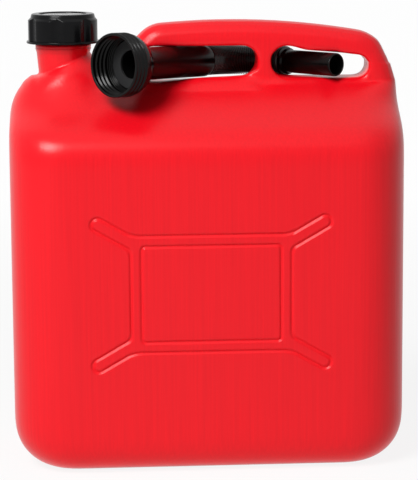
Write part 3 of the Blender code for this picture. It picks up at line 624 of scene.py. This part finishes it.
def smooth_skin(bm, cell):
    """Smooth the remeshed skin, more on the plain walls than near the handle and the neck."""
    clear_of_features = 0.006
    finer = (SMOOTHING_CELL / cell) ** 2
    all_over, off, walls, foot, sill = [max(2, round(n * finer)) for n in SMOOTHING_ROUNDS]
    for _ in range(all_over):
        smoothed(bm, bm.verts, SMOOTHING_PULL, 1)
        smoothed(bm, bm.verts, SMOOTHING_PUSH, 1)
    smooth_within(bm, off, lambda x, y, z: off_features(x, y, z, 0.0, clear_of_features))
    smooth_within(bm, walls, on_walls)
    fill_shoulder(bm)
    smooth_within(bm, foot, round_foot)
    settle_windows(bm)
    smooth_within(bm, sill, on_sill_lip)


def box_distance(x, z, half_x, half_z, corner):
    """Signed distance to a rounded rectangle."""
    qx = abs(x) - half_x + corner
    qz = abs(z) - half_z + corner
    return math.hypot(max(qx, 0.0), max(qz, 0.0)) + min(max(qx, qz), 0.0) - corner


def soft_least(a, b, blend):
    """The lesser of two distances, with their corner rounded."""
    h = max(blend - abs(a - b), 0.0) / blend
    return min(a, b) - h * h * blend / 4


def ray_distance(x, z):
    """Signed distance to the ray that leaves the outer frame's nearest corner."""
    beside = abs(x) - OUTER_HALF_WIDTH
    above = abs(z) - (OUTER_HALF_HEIGHT - RAY_DROP)
    along = beside * math.cos(RAY_SLOPE) + above * math.sin(RAY_SLOPE)
    along = min(max(along, -RAY_BACK), RAY_LENGTH)
    across = math.hypot(beside - along * math.cos(RAY_SLOPE), above - along * math.sin(RAY_SLOPE))
    return across - RAY_HALF_WIDTH


def pressed_distance(x, z):
    """Distance to the nearest pressed line of the panel: its rayed frame and its inner frame."""
    inner = box_distance(x, z, INNER_HALF_WIDTH, INNER_HALF_HEIGHT, INNER_CORNER)
    outer = box_distance(x, z, OUTER_HALF_WIDTH, OUTER_HALF_HEIGHT, OUTER_CORNER)
    return min(abs(inner), abs(soft_least(outer, ray_distance(x, z), RAY_BLEND)))


def on_panel(co, slack):
    """Whether a point is in the flat middle of a broad face, no deeper than a slack."""
    flat = abs(co.y) > HALF_DEPTH - slack
    return flat and abs(co.x) < PANEL_HALF_WIDTH and abs(co.z - PANEL_CENTRE) < PANEL_HALF_HEIGHT


def flatten_panel(bm, slack):
    """Bring the flat middle of both broad faces to one level."""
    for v in bm.verts:
        if on_panel(v.co, slack):
            v.co.y = math.copysign(HALF_DEPTH, v.co.y)


def press_lines(bm, depth, half_width):
    """Press the panel's lines into both broad faces, on cells made finer there."""
    slack, margin = 0.0004, 0.0016

    def near_line(co, reach):
        return on_panel(co, slack) and pressed_distance(co.x, co.z - PANEL_CENTRE) < reach

    flatten_panel(bm, slack)
    near = [f for f in bm.faces if near_line(f.calc_center_median(), half_width + margin)]
    edges = in_order(e for f in near for e in f.edges)
    bmesh.ops.subdivide_edges(bm, edges=edges, cuts=1, use_grid_fill=True)
    for v in bm.verts:
        if near_line(v.co, half_width):
            distance = pressed_distance(v.co.x, v.co.z - PANEL_CENTRE)
            drop = depth * (0.5 + 0.5 * math.cos(math.pi * distance / half_width))
            v.co.y = math.copysign(HALF_DEPTH - drop, v.co.y)


def neck_region(bm, height):
    """The faces, edges and verts round the neck above a height."""
    rightmost = NECK_X + 0.034
    faces = [
        f for f in bm.faces
        if f.calc_center_median().x < rightmost and max(v.co.z for v in f.verts) > height
    ]
    edges = in_order(e for f in faces for e in f.edges)
    verts = in_order(v for f in faces for v in f.verts)
    return verts + edges + faces


def cut_neck(bm, height):
    """Cut the neck off level at a height, and give the open edges that this leaves."""
    below, level = 0.004, 0.0001
    bmesh.ops.bisect_plane(
        bm,
        geom=neck_region(bm, height - below),
        dist=0.00001,
        plane_co=(0.0, 0.0, height),
        plane_no=(0.0, 0.0, 1.0),
        clear_outer=True,
    )
    return [e for e in bm.edges if e.is_boundary and abs(e.verts[0].co.z - height) < level]


def island(start):
    """All verts joined to one."""
    found = {start}
    waiting = [start]
    while waiting:
        for edge in waiting.pop().link_edges:
            for vert in edge.verts:
                if vert not in found:
                    found.add(vert)
                    waiting.append(vert)
    return found


def split_skins():
    """The can's outer skin, closed over its cut neck, and its inner skin, open there."""
    pressed, stub = 0.0014, 0.008
    bm = merged_copy("can_body")
    rim = cut_neck(bm, NECK_CUT)
    reach = {v: from_neck(v.co.x, v.co.y) for e in rim for v in e.verts}
    outer_verts = island(next(v for v, r in reach.items() if r > NECK_WALL_MIDDLE))
    inner = bm.copy()
    inner.verts.ensure_lookup_table()
    bm.verts.ensure_lookup_table()
    bm.verts.index_update()
    outer_numbers = {v.index for v in outer_verts}
    bmesh.ops.delete(inner, geom=[v for v in inner.verts if v.index in outer_numbers], context="VERTS")
    bmesh.ops.delete(bm, geom=[v for v in bm.verts if v not in outer_verts], context="VERTS")
    flatten_panel(bm, pressed)
    top = [e for e in bm.edges if e.is_boundary]
    raised = bmesh.ops.extrude_edge_only(bm, edges=top)["geom"]
    lifted = [g for g in raised if isinstance(g, bmesh.types.BMVert)]
    bmesh.ops.translate(bm, verts=lifted, vec=(0.0, 0.0, stub))
    bmesh.ops.edgeloop_fill(bm, edges=[e for e in bm.edges if e.is_boundary])
    bmesh.ops.recalc_face_normals(bm, faces=bm.faces)
    return bm, inner


def neck_surface(steps):
    """Outer wall, bead, finish, lip and bore of the neck, open at both lower ends."""
    low = BEAD_TOP - BEAD_HEIGHT
    profile = [
        (NECK_RADIUS, NECK_CUT + 0.0004),
        (NECK_RADIUS + 0.0002, low - 0.0017),
        (BEAD_RADIUS - 0.0004, low + 0.0002),
        (BEAD_RADIUS, low + 0.0012),
        (BEAD_RADIUS, low + 0.0022),
        (BEAD_RADIUS - 0.0003, low + 0.0026),
        (BEAD_RADIUS, low + 0.0030),
        (BEAD_RADIUS, BEAD_TOP - 0.0012),
        (BEAD_RADIUS - 0.0005, BEAD_TOP - 0.0003),
        (BEAD_RADIUS - 0.0012, BEAD_TOP),
        (NECK_FINISH_RADIUS + 0.0003, BEAD_TOP),
        (NECK_FINISH_RADIUS, BEAD_TOP + 0.0004),
        (NECK_FINISH_RADIUS, NECK_TOP - 0.0010),
        (NECK_FINISH_RADIUS - 0.0003, NECK_TOP - 0.0003),
        (NECK_FINISH_RADIUS - 0.0010, NECK_TOP),
        (NECK_BORE_RADIUS + 0.0006, NECK_TOP),
        (NECK_BORE_RADIUS, NECK_TOP - 0.0006),
        (NECK_BORE_RADIUS, NECK_CUT + 0.0004),
    ]
    return spun(profile, steps, NECK_FRAME, closed=False)


def open_ring(bm, radius_low, radius_high):
    """Open edges whose distance from the neck's axis lies in a range."""
    edges = []
    for e in bm.edges:
        if e.is_boundary:
            reach = from_neck(e.verts[0].co.x, e.verts[0].co.y)
            if radius_low < reach < radius_high:
                edges.append(e)
    return edges


def can_skin(settings):
    """The can: its remeshed outer skin, the solid's inner skin, and the neck that joins them."""
    cell = settings.cell
    outer, inner = split_skins()
    outer = finished_mesh(outer, ("REMESH", {"mode": "VOXEL", "voxel_size": cell, "adaptivity": 0.0}))
    draw_in_neck(outer, NECK_DRAW)
    smooth_skin(outer, cell)
    cut_neck(outer, NECK_CUT)
    press_lines(outer, settings.line_depth, settings.line_half_width)
    bmesh.ops.triangulate(outer, faces=outer.faces)
    ratio = min(1.0, settings.most_triangles / len(outer.faces))
    outer = finished_mesh(outer, ("DECIMATE", {"decimate_type": "COLLAPSE", "ratio": ratio}))
    joined(outer, inner, neck_surface(NECK_STEPS))
    near = 0.002
    bmesh.ops.bridge_loops(outer, edges=open_ring(outer, NECK_WALL_MIDDLE, NECK_RADIUS + near))
    bmesh.ops.bridge_loops(outer, edges=open_ring(outer, NECK_BORE_RADIUS - near, NECK_WALL_MIDDLE))
    bmesh.ops.recalc_face_normals(outer, faces=outer.faces)
    thread = helix(
        NECK_FINISH_RADIUS,
        root_half=0.0011,
        crest_half=0.0005,
        rise=0.0010,
        start=BEAD_TOP + 0.0045,
        turns=2.4,
        matrix=NECK_FRAME,
        phase=math.radians(200.0),
    )
    return joined(outer, thread)


# The cap

def cap_reach(angle, settings):
    """The skirt's radius: broad lobes with a flute between each two."""
    flute_share = 0.7
    turn = settings.lobes * (angle - settings.flute_angle)
    wave = max(0.0, math.cos(turn) - 1 + flute_share) / flute_share
    return CAP_LOBES - settings.flute_depth * wave


def cap_shape(settings):
    """Skirt with broad lobes that slope up to a tapered ring round a sunk middle."""
    height = CAP_HIGH.z - CAP_LOW.z
    ring_foot = height - 0.0038
    lobe_top = ring_foot - 0.0019
    floor = height - CAP_RECESS_DEPTH
    plate = height - 0.0052
    bore = NECK_FINISH_RADIUS + 0.0022
    slope_start, slope_across, slope_up = CAP_LOBES - 0.0004, 0.0018, 0.0017
    lobes_from, lobes_above, steps_per_lobe = 0.0297, 0.0024, 22
    profile = [(bore, plate), (bore, 0.0), (CAP_FOOT - 0.0004, 0.0), (CAP_FOOT, 0.0004), (CAP_FOOT, 0.0015)]
    profile += [(CAP_FOOT - 0.0002, 0.0020), (CAP_FOOT - 0.0010, 0.0022), (CAP_LOBES + 0.0001, 0.0025)]
    profile += [(CAP_LOBES, 0.0030 + (lobe_top - 0.0036) * k / 5) for k in range(6)]
    profile += [(CAP_LOBES - 0.0001, lobe_top - 0.0002), (slope_start, lobe_top + 0.0001)]
    profile += [
        (slope_start - slope_across * k / 6, lobe_top + 0.0001 + slope_up * k / 6) for k in range(1, 7)
    ]
    profile += [(CAP_RING + 0.0006, ring_foot + 0.0003), (CAP_RING + 0.0003, ring_foot + 0.0016)]
    profile += [(CAP_RING, height - 0.0011), (CAP_RING - 0.0005, height - 0.0004)]
    profile += [(CAP_RING - 0.0014, height - 0.0001), (CAP_RING - 0.0024, height)]
    profile += [(CAP_RECESS + 0.0011, height), (CAP_RECESS + 0.0004, height - 0.0002)]
    profile += [(CAP_RECESS + 0.0001, height - 0.0006), (CAP_RECESS, floor + 0.0002)]
    profile += [(CAP_RECESS - 0.0005, floor), (0.0100, floor), (0.0, floor), (0.0, plate)]
    bm = spun(profile, settings.lobes * steps_per_lobe)
    for v in bm.verts:
        reach = math.hypot(v.co.x, v.co.y)
        if reach > lobes_from and v.co.z > lobes_above:
            least = min(1.0, cap_reach(math.atan2(v.co.y, v.co.x), settings) / reach)
            v.co.x *= least
            v.co.y *= least
    thread = helix(
        bore,
        root_half=0.0010,
        crest_half=0.0005,
        rise=-0.0011,
        start=0.0067,
        turns=2.2,
        phase=math.radians(20.0),
    )
    joined(bm, thread)
    bmesh.ops.translate(bm, verts=bm.verts, vec=(NECK_X, 0.0, CAP_LOW.z))
    return bm


# The spout

def collar_shape():
    """Screw collar: rounded ridges round its mouth, a conical shoulder and threads inside."""
    ridges, ridge_pitch = 4, 0.0045
    crest, valley = COLLAR_CREST, COLLAR_VALLEY
    shoulder, back = 0.0195, COLLAR_LENGTH
    cone_top, back_edge, back_face = 0.0244, 0.0236, 0.0212
    hole, seat, plate, seat_depth = 0.0153, 0.0226, 0.0026, 0.0226
    inner_steps = ((0.0232, 0.0222), (0.0242, 0.0209), (0.0251, 0.0196))
    outer = [(crest - 0.0006, 0.0)]
    for k in range(ridges):
        start = 0.0002 + ridge_pitch * k
        outer += [(crest - 0.0002, start + 0.0002), (crest, start + 0.0006), (crest - 0.0002, start + 0.0010)]
        outer += [(valley + 0.0001, start + 0.0020), (valley, start + 0.0026)]
        if k < ridges - 1:
            outer += [(valley, start + 0.0034), (valley + 0.0002, start + 0.0040)]
    outer += [(valley, shoulder), (valley - 0.0005, shoulder + 0.0011)]
    outer += [(cone_top, back - 0.0025), (back_edge, back - 0.0014), (back_face, back)]
    inner = [(hole, back), (hole, back - plate), (seat, back - plate), (seat, seat_depth)]
    for radius, depth in inner_steps:
        inner += [(radius, depth), (radius, depth - 0.0006), (radius + 0.0005, depth - 0.0007)]
    inner += [(COLLAR_BORE, 0.0178), (COLLAR_BORE, 0.0005), (COLLAR_BORE + 0.0004, 0.0)]
    bm = spun(outer + inner, steps=96)
    soften(bm, width=0.00022)
    thread = helix(
        COLLAR_BORE,
        root_half=0.0015,
        crest_half=0.0004,
        rise=-0.0013,
        start=0.0025,
        turns=2.75,
        phase=math.radians(-90.0),
    )
    joined(bm, thread)
    bmesh.ops.transform(bm, matrix=TUBE_FRAME, verts=bm.verts)
    return bm


def tube_shape():
    """Smooth tube with its flange in the collar and a small lip where the bellows starts."""
    flange_start, flange_end, bevel = 0.0244, 0.0260, 0.0007
    outer = [(FLANGE_RADIUS, flange_start), (FLANGE_RADIUS, flange_end)]
    outer += [(TUBE_RADIUS, flange_end), (TUBE_RADIUS, TUBE_LENGTH - 0.0016)]
    outer += [(TUBE_RADIUS - 0.0004, TUBE_LENGTH - 0.0006), (TUBE_RADIUS - 0.0014, TUBE_LENGTH)]
    inner = [(BELLOWS_BORE, TUBE_LENGTH), (BELLOWS_BORE, TUBE_LENGTH - 0.0012)]
    inner += [(TUBE_BORE, TUBE_LENGTH - 0.0044), (TUBE_BORE, flange_start + bevel)]
    inner.append((TUBE_BORE + bevel, flange_start))
    bm = spun(outer + inner, steps=72)
    soften(bm, width=0.0003)
    bmesh.ops.transform(bm, matrix=TUBE_FRAME, verts=bm.verts)
    return bm


def round_bend(angle, rise, beyond):
    """A point at an angle round the spout's bend, off its middle line and carried straight on."""
    outward = Vector((math.sin(angle), math.cos(angle), 0.0))
    forward = Vector((math.cos(angle), -math.sin(angle), 0.0))
    return BEND_CENTRE + outward * (BELLOWS_BEND_RADIUS + rise) + forward * beyond


def bend(bm):
    """Carry a tube along X round the spout's bend."""
    for v in bm.verts:
        angle = min(SPOUT_BEND, max(0.0, (v.co.x - BELLOWS_LEAD) / BELLOWS_BEND_RADIUS))
        beyond = v.co.x - BELLOWS_LEAD - angle * BELLOWS_BEND_RADIUS
        v.co = round_bend(angle, v.co.y, beyond) + Vector((0.0, 0.0, v.co.z))


def bellows_shape(settings):
    """Finely ribbed hose, round crests and narrower valleys, bent with the spout."""
    start, end = GAP, BELLOWS_LENGTH - GAP
    cuff, bore_steps = 0.0016, 24
    valley = BELLOWS_RADIUS - BELLOWS_VALLEY
    pitch = (end - start - 2 * cuff) / settings.ribs
    outer = [(valley, start)]
    for k in range(settings.ribs):
        foot = start + cuff + pitch * k
        outer += [(valley + BELLOWS_VALLEY * rise, foot + pitch * at) for at, rise in RIB_SECTION]
    outer += [(valley, end - cuff), (valley, end)]
    inner = [(BELLOWS_BORE, end + (start - end) * k / bore_steps) for k in range(bore_steps + 1)]
    bm = spun(outer + inner, steps=44, matrix=ALONG)
    # How near each vert is to a rib's crest: 0 in a valley and 1 on top. The material paints a highlight by
    # it.
    crest = bm.verts.layers.float.new("crest")
    for v in bm.verts:
        v[crest] = max(0.0, math.hypot(v.co.y, v.co.z) - valley) / BELLOWS_VALLEY
    bend(bm)
    bmesh.ops.transform(bm, matrix=SPOUT_FRAME, verts=bm.verts)
    return bm


def bend_end():
    """Frame of the nozzle: the bend's far end, with Z along the nozzle."""
    place = Matrix.Translation(round_bend(SPOUT_BEND, 0.0, BELLOWS_TAIL))
    return SPOUT_FRAME @ place @ Matrix.Rotation(-SPOUT_BEND, 4, "Z") @ ALONG


def nozzle_shape():
    """Straight nozzle with a cuff at the bellows and a rounded mouth."""
    cuff = BELLOWS_RADIUS - BELLOWS_VALLEY
    outer = [(cuff, 0.0), (cuff, 0.0015), (NOZZLE_RADIUS + 0.0005, 0.0027), (NOZZLE_RADIUS, 0.0034)]
    outer += [(NOZZLE_RADIUS, NOZZLE_LENGTH - 0.0018), (NOZZLE_RADIUS, NOZZLE_LENGTH - 0.0008)]
    outer.append((NOZZLE_RADIUS - 0.0003, NOZZLE_LENGTH))
    inner = [(NOZZLE_BORE + 0.0003, NOZZLE_LENGTH), (NOZZLE_BORE, NOZZLE_LENGTH - 0.0005)]
    inner += [(NOZZLE_BORE, 0.0030), (BELLOWS_BORE, 0.0)]
    bm = spun(outer + inner, steps=64)
    soften(bm, width=0.0002)
    bmesh.ops.transform(bm, matrix=bend_end(), verts=bm.verts)
    return bm


# Settings

class CanSettings(bpy.types.PropertyGroup):
    red: FloatVectorProperty(
        name="Red", description="Colour of the moulded can", subtype="COLOR", size=4,
        min=0.0, max=1.0, default=(0.84, 0.004, 0.012, 1.0),
    )
    cell: FloatProperty(
        name="Skin cell", description="Cell size of the can's smoothed skin",
        unit="LENGTH", default=0.0014, min=0.001, max=0.006,
    )
    most_triangles: IntProperty(
        name="Most triangles", description="Triangles left in the outer skin", default=176000,
    )
    line_depth: FloatProperty(
        name="Line depth", description="Depth of the pressed lines on both broad faces",
        unit="LENGTH", default=0.0016,
    )
    line_half_width: FloatProperty(
        name="Line half width", description="Half the width of a pressed line",
        unit="LENGTH", default=0.0025,
    )
    streak_strength: FloatProperty(
        name="Streaks", description="Strength of the flow streaks down the walls",
        subtype="FACTOR", default=0.22, min=0.0, max=1.0,
    )
    seam_height: FloatProperty(
        name="Seam height", description="Height of the mould's parting seam",
        unit="LENGTH", default=0.0003,
    )


class CapSettings(bpy.types.PropertyGroup):
    black: FloatVectorProperty(
        name="Cap black", description="Colour of the screw cap", subtype="COLOR", size=4,
        min=0.0, max=1.0, default=(0.0030, 0.0030, 0.0034, 1.0),
    )
    lobes: IntProperty(name="Lobes", description="Finger lobes round the skirt", default=7, min=3)
    flute_angle: FloatProperty(
        name="Flute angle", description="Where one of the flutes is, round the cap",
        subtype="ANGLE", default=math.radians(-100.3),
    )
    flute_depth: FloatProperty(
        name="Flute depth", description="Depth of the flute between two lobes",
        unit="LENGTH", default=0.0023,
    )
    rubber: FloatVectorProperty(
        name="Seal rubber", description="Colour of both sealing rings", subtype="COLOR", size=4,
        min=0.0, max=1.0, default=(0.0060, 0.0060, 0.0065, 1.0),
    )


class SpoutSettings(bpy.types.PropertyGroup):
    black: FloatVectorProperty(
        name="Spout black", description="Colour of the collar, tube, bellows and nozzle",
        subtype="COLOR", size=4, min=0.0, max=1.0, default=(0.0026, 0.0025, 0.0025, 1.0),
    )
    ribs: IntProperty(name="Ribs", description="Ribs of the bellows", default=38, min=4)


class StageSettings(bpy.types.PropertyGroup):
    floor: FloatVectorProperty(
        name="Floor", description="Colour of the floor", subtype="COLOR", size=4,
        min=0.0, max=1.0, default=(0.90, 0.90, 0.90, 1.0),
    )
    world_strength: FloatProperty(
        name="Room light", description="Strength of the white room", default=0.12, min=0.0,
    )
    key_power: FloatProperty(
        name="Key light", description="Power of the lamp above and left of the camera",
        unit="POWER", default=66.0, min=0.0,
    )
    top_power: FloatProperty(
        name="Top light", description="Power of the lamp over the object",
        unit="POWER", default=2.0, min=0.0,
    )


# Operators

class FUELCAN_OT_stage(bpy.types.Operator):
    """Set up the floor, the room light, the lamps and the camera"""
    bl_idname = "fuel_can.stage"
    bl_label = "Stage"

    def execute(self, context):
        settings = context.scene.fuel_can_stage
        scene = context.scene
        scene.view_settings.view_transform = "Standard"
        add_camera(scene)
        add_world(scene, settings)
        add_lamp("key_lamp", place=(-1.15, -1.6, 2.0), size=1.05, power=settings.key_power)
        add_lamp("top_lamp", place=(0.1, -0.6, 1.5), size=1.5, power=settings.top_power)
        add_floor(settings)
        return {"FINISHED"}


class FUELCAN_OT_can(bpy.types.Operator):
    """Model the can's moulded skin with its pressed lines and threaded neck"""
    bl_idname = "fuel_can.can"
    bl_label = "Can"

    def execute(self, context):
        settings = context.scene.fuel_can_body
        skin = add_piece("can_skin", can_skin(settings), moulded_red(settings), smooth_degrees=50.0)
        even = skin.modifiers.new("Even normals", "WEIGHTED_NORMAL")
        even.keep_sharp = True
        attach(skin, "can")
        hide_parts("can_body")
        return {"FINISHED"}


class FUELCAN_OT_cap(bpy.types.Operator):
    """Model the screw cap and finish both sealing rings"""
    bl_idname = "fuel_can.cap"
    bl_label = "Cap"

    def execute(self, context):
        settings = context.scene.fuel_can_cap
        black = moulded_black("cap_black_plastic", settings.black, roughness=0.20)
        polish_recess(black)
        piece = add_piece("screw_cap", cap_shape(settings), black, smooth_degrees=35.0)
        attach(piece, "cap")
        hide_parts("cap")
        rubber = seal_rubber(settings.rubber)
        for node in ("cap_gasket", "spout_gasket"):
            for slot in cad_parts[node].material_slots:
                slot.material = rubber
        return {"FINISHED"}


class FUELCAN_OT_spout(bpy.types.Operator):
    """Model the collar, the tube, the ribbed bellows and the nozzle"""
    bl_idname = "fuel_can.spout"
    bl_label = "Spout"

    def execute(self, context):
        settings = context.scene.fuel_can_spout
        # Painted shade: the collar and the bellows get the spout's black at 0.7 of its brightness, so that
        # they look as dark as they do in shade.
        darker = shade(settings.black, 0.7)
        black = moulded_black("spout_black_plastic", settings.black, roughness=0.22)
        collar_black = moulded_black("collar_black_plastic", darker, roughness=0.18, level=0.15)
        hose_black = moulded_black("bellows_black_plastic", darker, roughness=0.24, level=0.30)
        # Painted highlight along the crests of the bellows' ribs.
        paint_crest_highlights(hose_black)
        collar = add_piece("screw_collar", collar_shape(), collar_black, smooth_degrees=35.0)
        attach(collar, "collar")
        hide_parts("spout_collar")
        tube = add_piece("smooth_tube", tube_shape(), black, smooth_degrees=35.0)
        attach(tube, "spout")
        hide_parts("spout_tube")
        bellows = add_piece("ribbed_bellows", bellows_shape(settings), hose_black, smooth_degrees=60.0)
        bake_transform(bellows)
        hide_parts("spout_bellows")
        nozzle = add_piece("nozzle_tube", nozzle_shape(), black, smooth_degrees=35.0)
        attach(nozzle, "nozzle")
        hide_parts("spout_nozzle")
        return {"FINISHED"}


# Stage

def add_camera(scene):
    """The photograph's view: a long lens a little above the handle, slightly from the left."""
    up, side, roll = math.radians(9.6), math.radians(-3.5), math.radians(-0.4)
    aim, distance = Vector((0.0, 0.0, 0.2085)), 2.034
    image_height = 480.0
    back = Vector((math.sin(side) * math.cos(up), -math.cos(side) * math.cos(up), math.sin(up)))
    data = bpy.data.cameras.new("photo_camera")
    data.sensor_width = 36.0
    data.lens = 162.75
    data.shift_x = 4.0 / image_height
    data.shift_y = -9.0 / image_height
    data.clip_end = 100.0
    camera = bpy.data.objects.new("photo_camera", data)
    camera.location = aim + back * distance
    turn = (-back).to_track_quat("-Z", "Y").to_euler()
    turn.rotate_axis("Z", roll)
    camera.rotation_euler = turn
    scene.collection.objects.link(camera)
    scene.camera = camera


def seen_directly(tree):
    """1 for what the camera sees, also in a reflection or through a clear part, and 0 for light."""
    path = tree.nodes.new("ShaderNodeLightPath")
    value = path.outputs["Is Camera Ray"]
    for name in ("Is Glossy Ray", "Is Transmission Ray"):
        most = tree.nodes.new("ShaderNodeMath")
        most.operation = "MAXIMUM"
        tree.links.new(value, most.inputs[0])
        tree.links.new(path.outputs[name], most.inputs[1])
        value = most.outputs["Value"]
    return value


def add_world(scene, settings):
    """Plain white room, seen as white by the camera and in reflections."""
    world = bpy.data.worlds.new("white_room")
    world.use_nodes = True
    tree = world.node_tree
    tree.nodes.clear()
    light = tree.nodes.new("ShaderNodeBackground")
    light.inputs["Color"].default_value = (1.0, 1.0, 1.0, 1.0)
    strength = ranged(tree, seen_directly(tree), 0.0, 1.0, settings.world_strength, 1.0)
    tree.links.new(strength, light.inputs["Strength"])
    output = tree.nodes.new("ShaderNodeOutputWorld")
    tree.links.new(light.outputs["Background"], output.inputs["Surface"])
    scene.world = world


def add_lamp(name, place, size, power):
    """A square soft lamp aimed at the middle of the can."""
    aim = Vector((0.0, 0.0, 0.2))
    data = bpy.data.lights.new(name, "AREA")
    data.shape = "SQUARE"
    data.size = size
    data.energy = power
    lamp = bpy.data.objects.new(name, data)
    lamp.location = place
    lamp.rotation_euler = (aim - Vector(place)).to_track_quat("-Z", "Y").to_euler()
    bpy.context.scene.collection.objects.link(lamp)


def add_floor(settings):
    """A wide pale floor that reads white and still takes the can's shadow."""
    near, far, glow_near, glow_far = 0.4, 1.6, 0.88, 0.985
    half_size = 15.0
    material = bpy.data.materials.new("pale_floor")
    material.use_nodes = True
    tree = material.node_tree
    tree.nodes.clear()
    place = tree.nodes.new("ShaderNodeTexCoord")
    reach = tree.nodes.new("ShaderNodeVectorMath")
    reach.operation = "LENGTH"
    tree.links.new(place.outputs["Object"], reach.inputs[0])
    part = tree.nodes.new("ShaderNodeMath")
    part.operation = "MULTIPLY"
    tree.links.new(seen_directly(tree), part.inputs[0])
    tree.links.new(ranged(tree, reach.outputs["Value"], near, far, glow_near, glow_far), part.inputs[1])
    paint = tree.nodes.new("ShaderNodeBsdfDiffuse")
    paint.inputs["Color"].default_value = settings.floor
    glow = tree.nodes.new("ShaderNodeEmission")
    glow.inputs["Strength"].default_value = 1.0
    mix = tree.nodes.new("ShaderNodeMixShader")
    tree.links.new(part.outputs["Value"], mix.inputs["Fac"])
    tree.links.new(paint.outputs["BSDF"], mix.inputs[1])
    tree.links.new(glow.outputs["Emission"], mix.inputs[2])
    output = tree.nodes.new("ShaderNodeOutputMaterial")
    tree.links.new(mix.outputs["Shader"], output.inputs["Surface"])
    bm = bmesh.new()
    bmesh.ops.create_grid(bm, x_segments=8, y_segments=8, size=half_size)
    floor = add_piece("floor", bm, material)


# Add-on

class FUELCAN_PT_panel(bpy.types.Panel):
    """The fuel can's pieces"""
    bl_idname = "FUELCAN_PT_panel"
    bl_label = "Fuel Can"
    bl_space_type = "VIEW_3D"
    bl_region_type = "UI"
    bl_category = "Fuel Can"

    def draw(self, context):
        for group in (
            context.scene.fuel_can_body,
            context.scene.fuel_can_cap,
            context.scene.fuel_can_spout,
            context.scene.fuel_can_stage,
        ):
            box = self.layout.box()
            for key in group.__annotations__:
                box.prop(group, key)
        for operator in OPERATORS:
            self.layout.operator(operator.bl_idname)


SETTINGS = {
    "fuel_can_body": CanSettings,
    "fuel_can_cap": CapSettings,
    "fuel_can_spout": SpoutSettings,
    "fuel_can_stage": StageSettings,
}
OPERATORS = (FUELCAN_OT_stage, FUELCAN_OT_can, FUELCAN_OT_cap, FUELCAN_OT_spout)


def register():
    """Add the classes, and each group of settings to the scene."""
    for item in (*SETTINGS.values(), *OPERATORS, FUELCAN_PT_panel):
        bpy.utils.register_class(item)
    for key, group in SETTINGS.items():
        setattr(bpy.types.Scene, key, PointerProperty(type=group))


def unregister():
    """Take the settings and the classes away again."""
    for key in SETTINGS:
        delattr(bpy.types.Scene, key)
    for item in (FUELCAN_PT_panel, *OPERATORS, *SETTINGS.values()):
        bpy.utils.unregister_class(item)


def main():
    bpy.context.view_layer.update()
    register()
    bpy.ops.fuel_can.stage()
    bpy.ops.fuel_can.can()
    bpy.ops.fuel_can.cap()
    bpy.ops.fuel_can.spout()


if __name__ == "__main__":
    main()
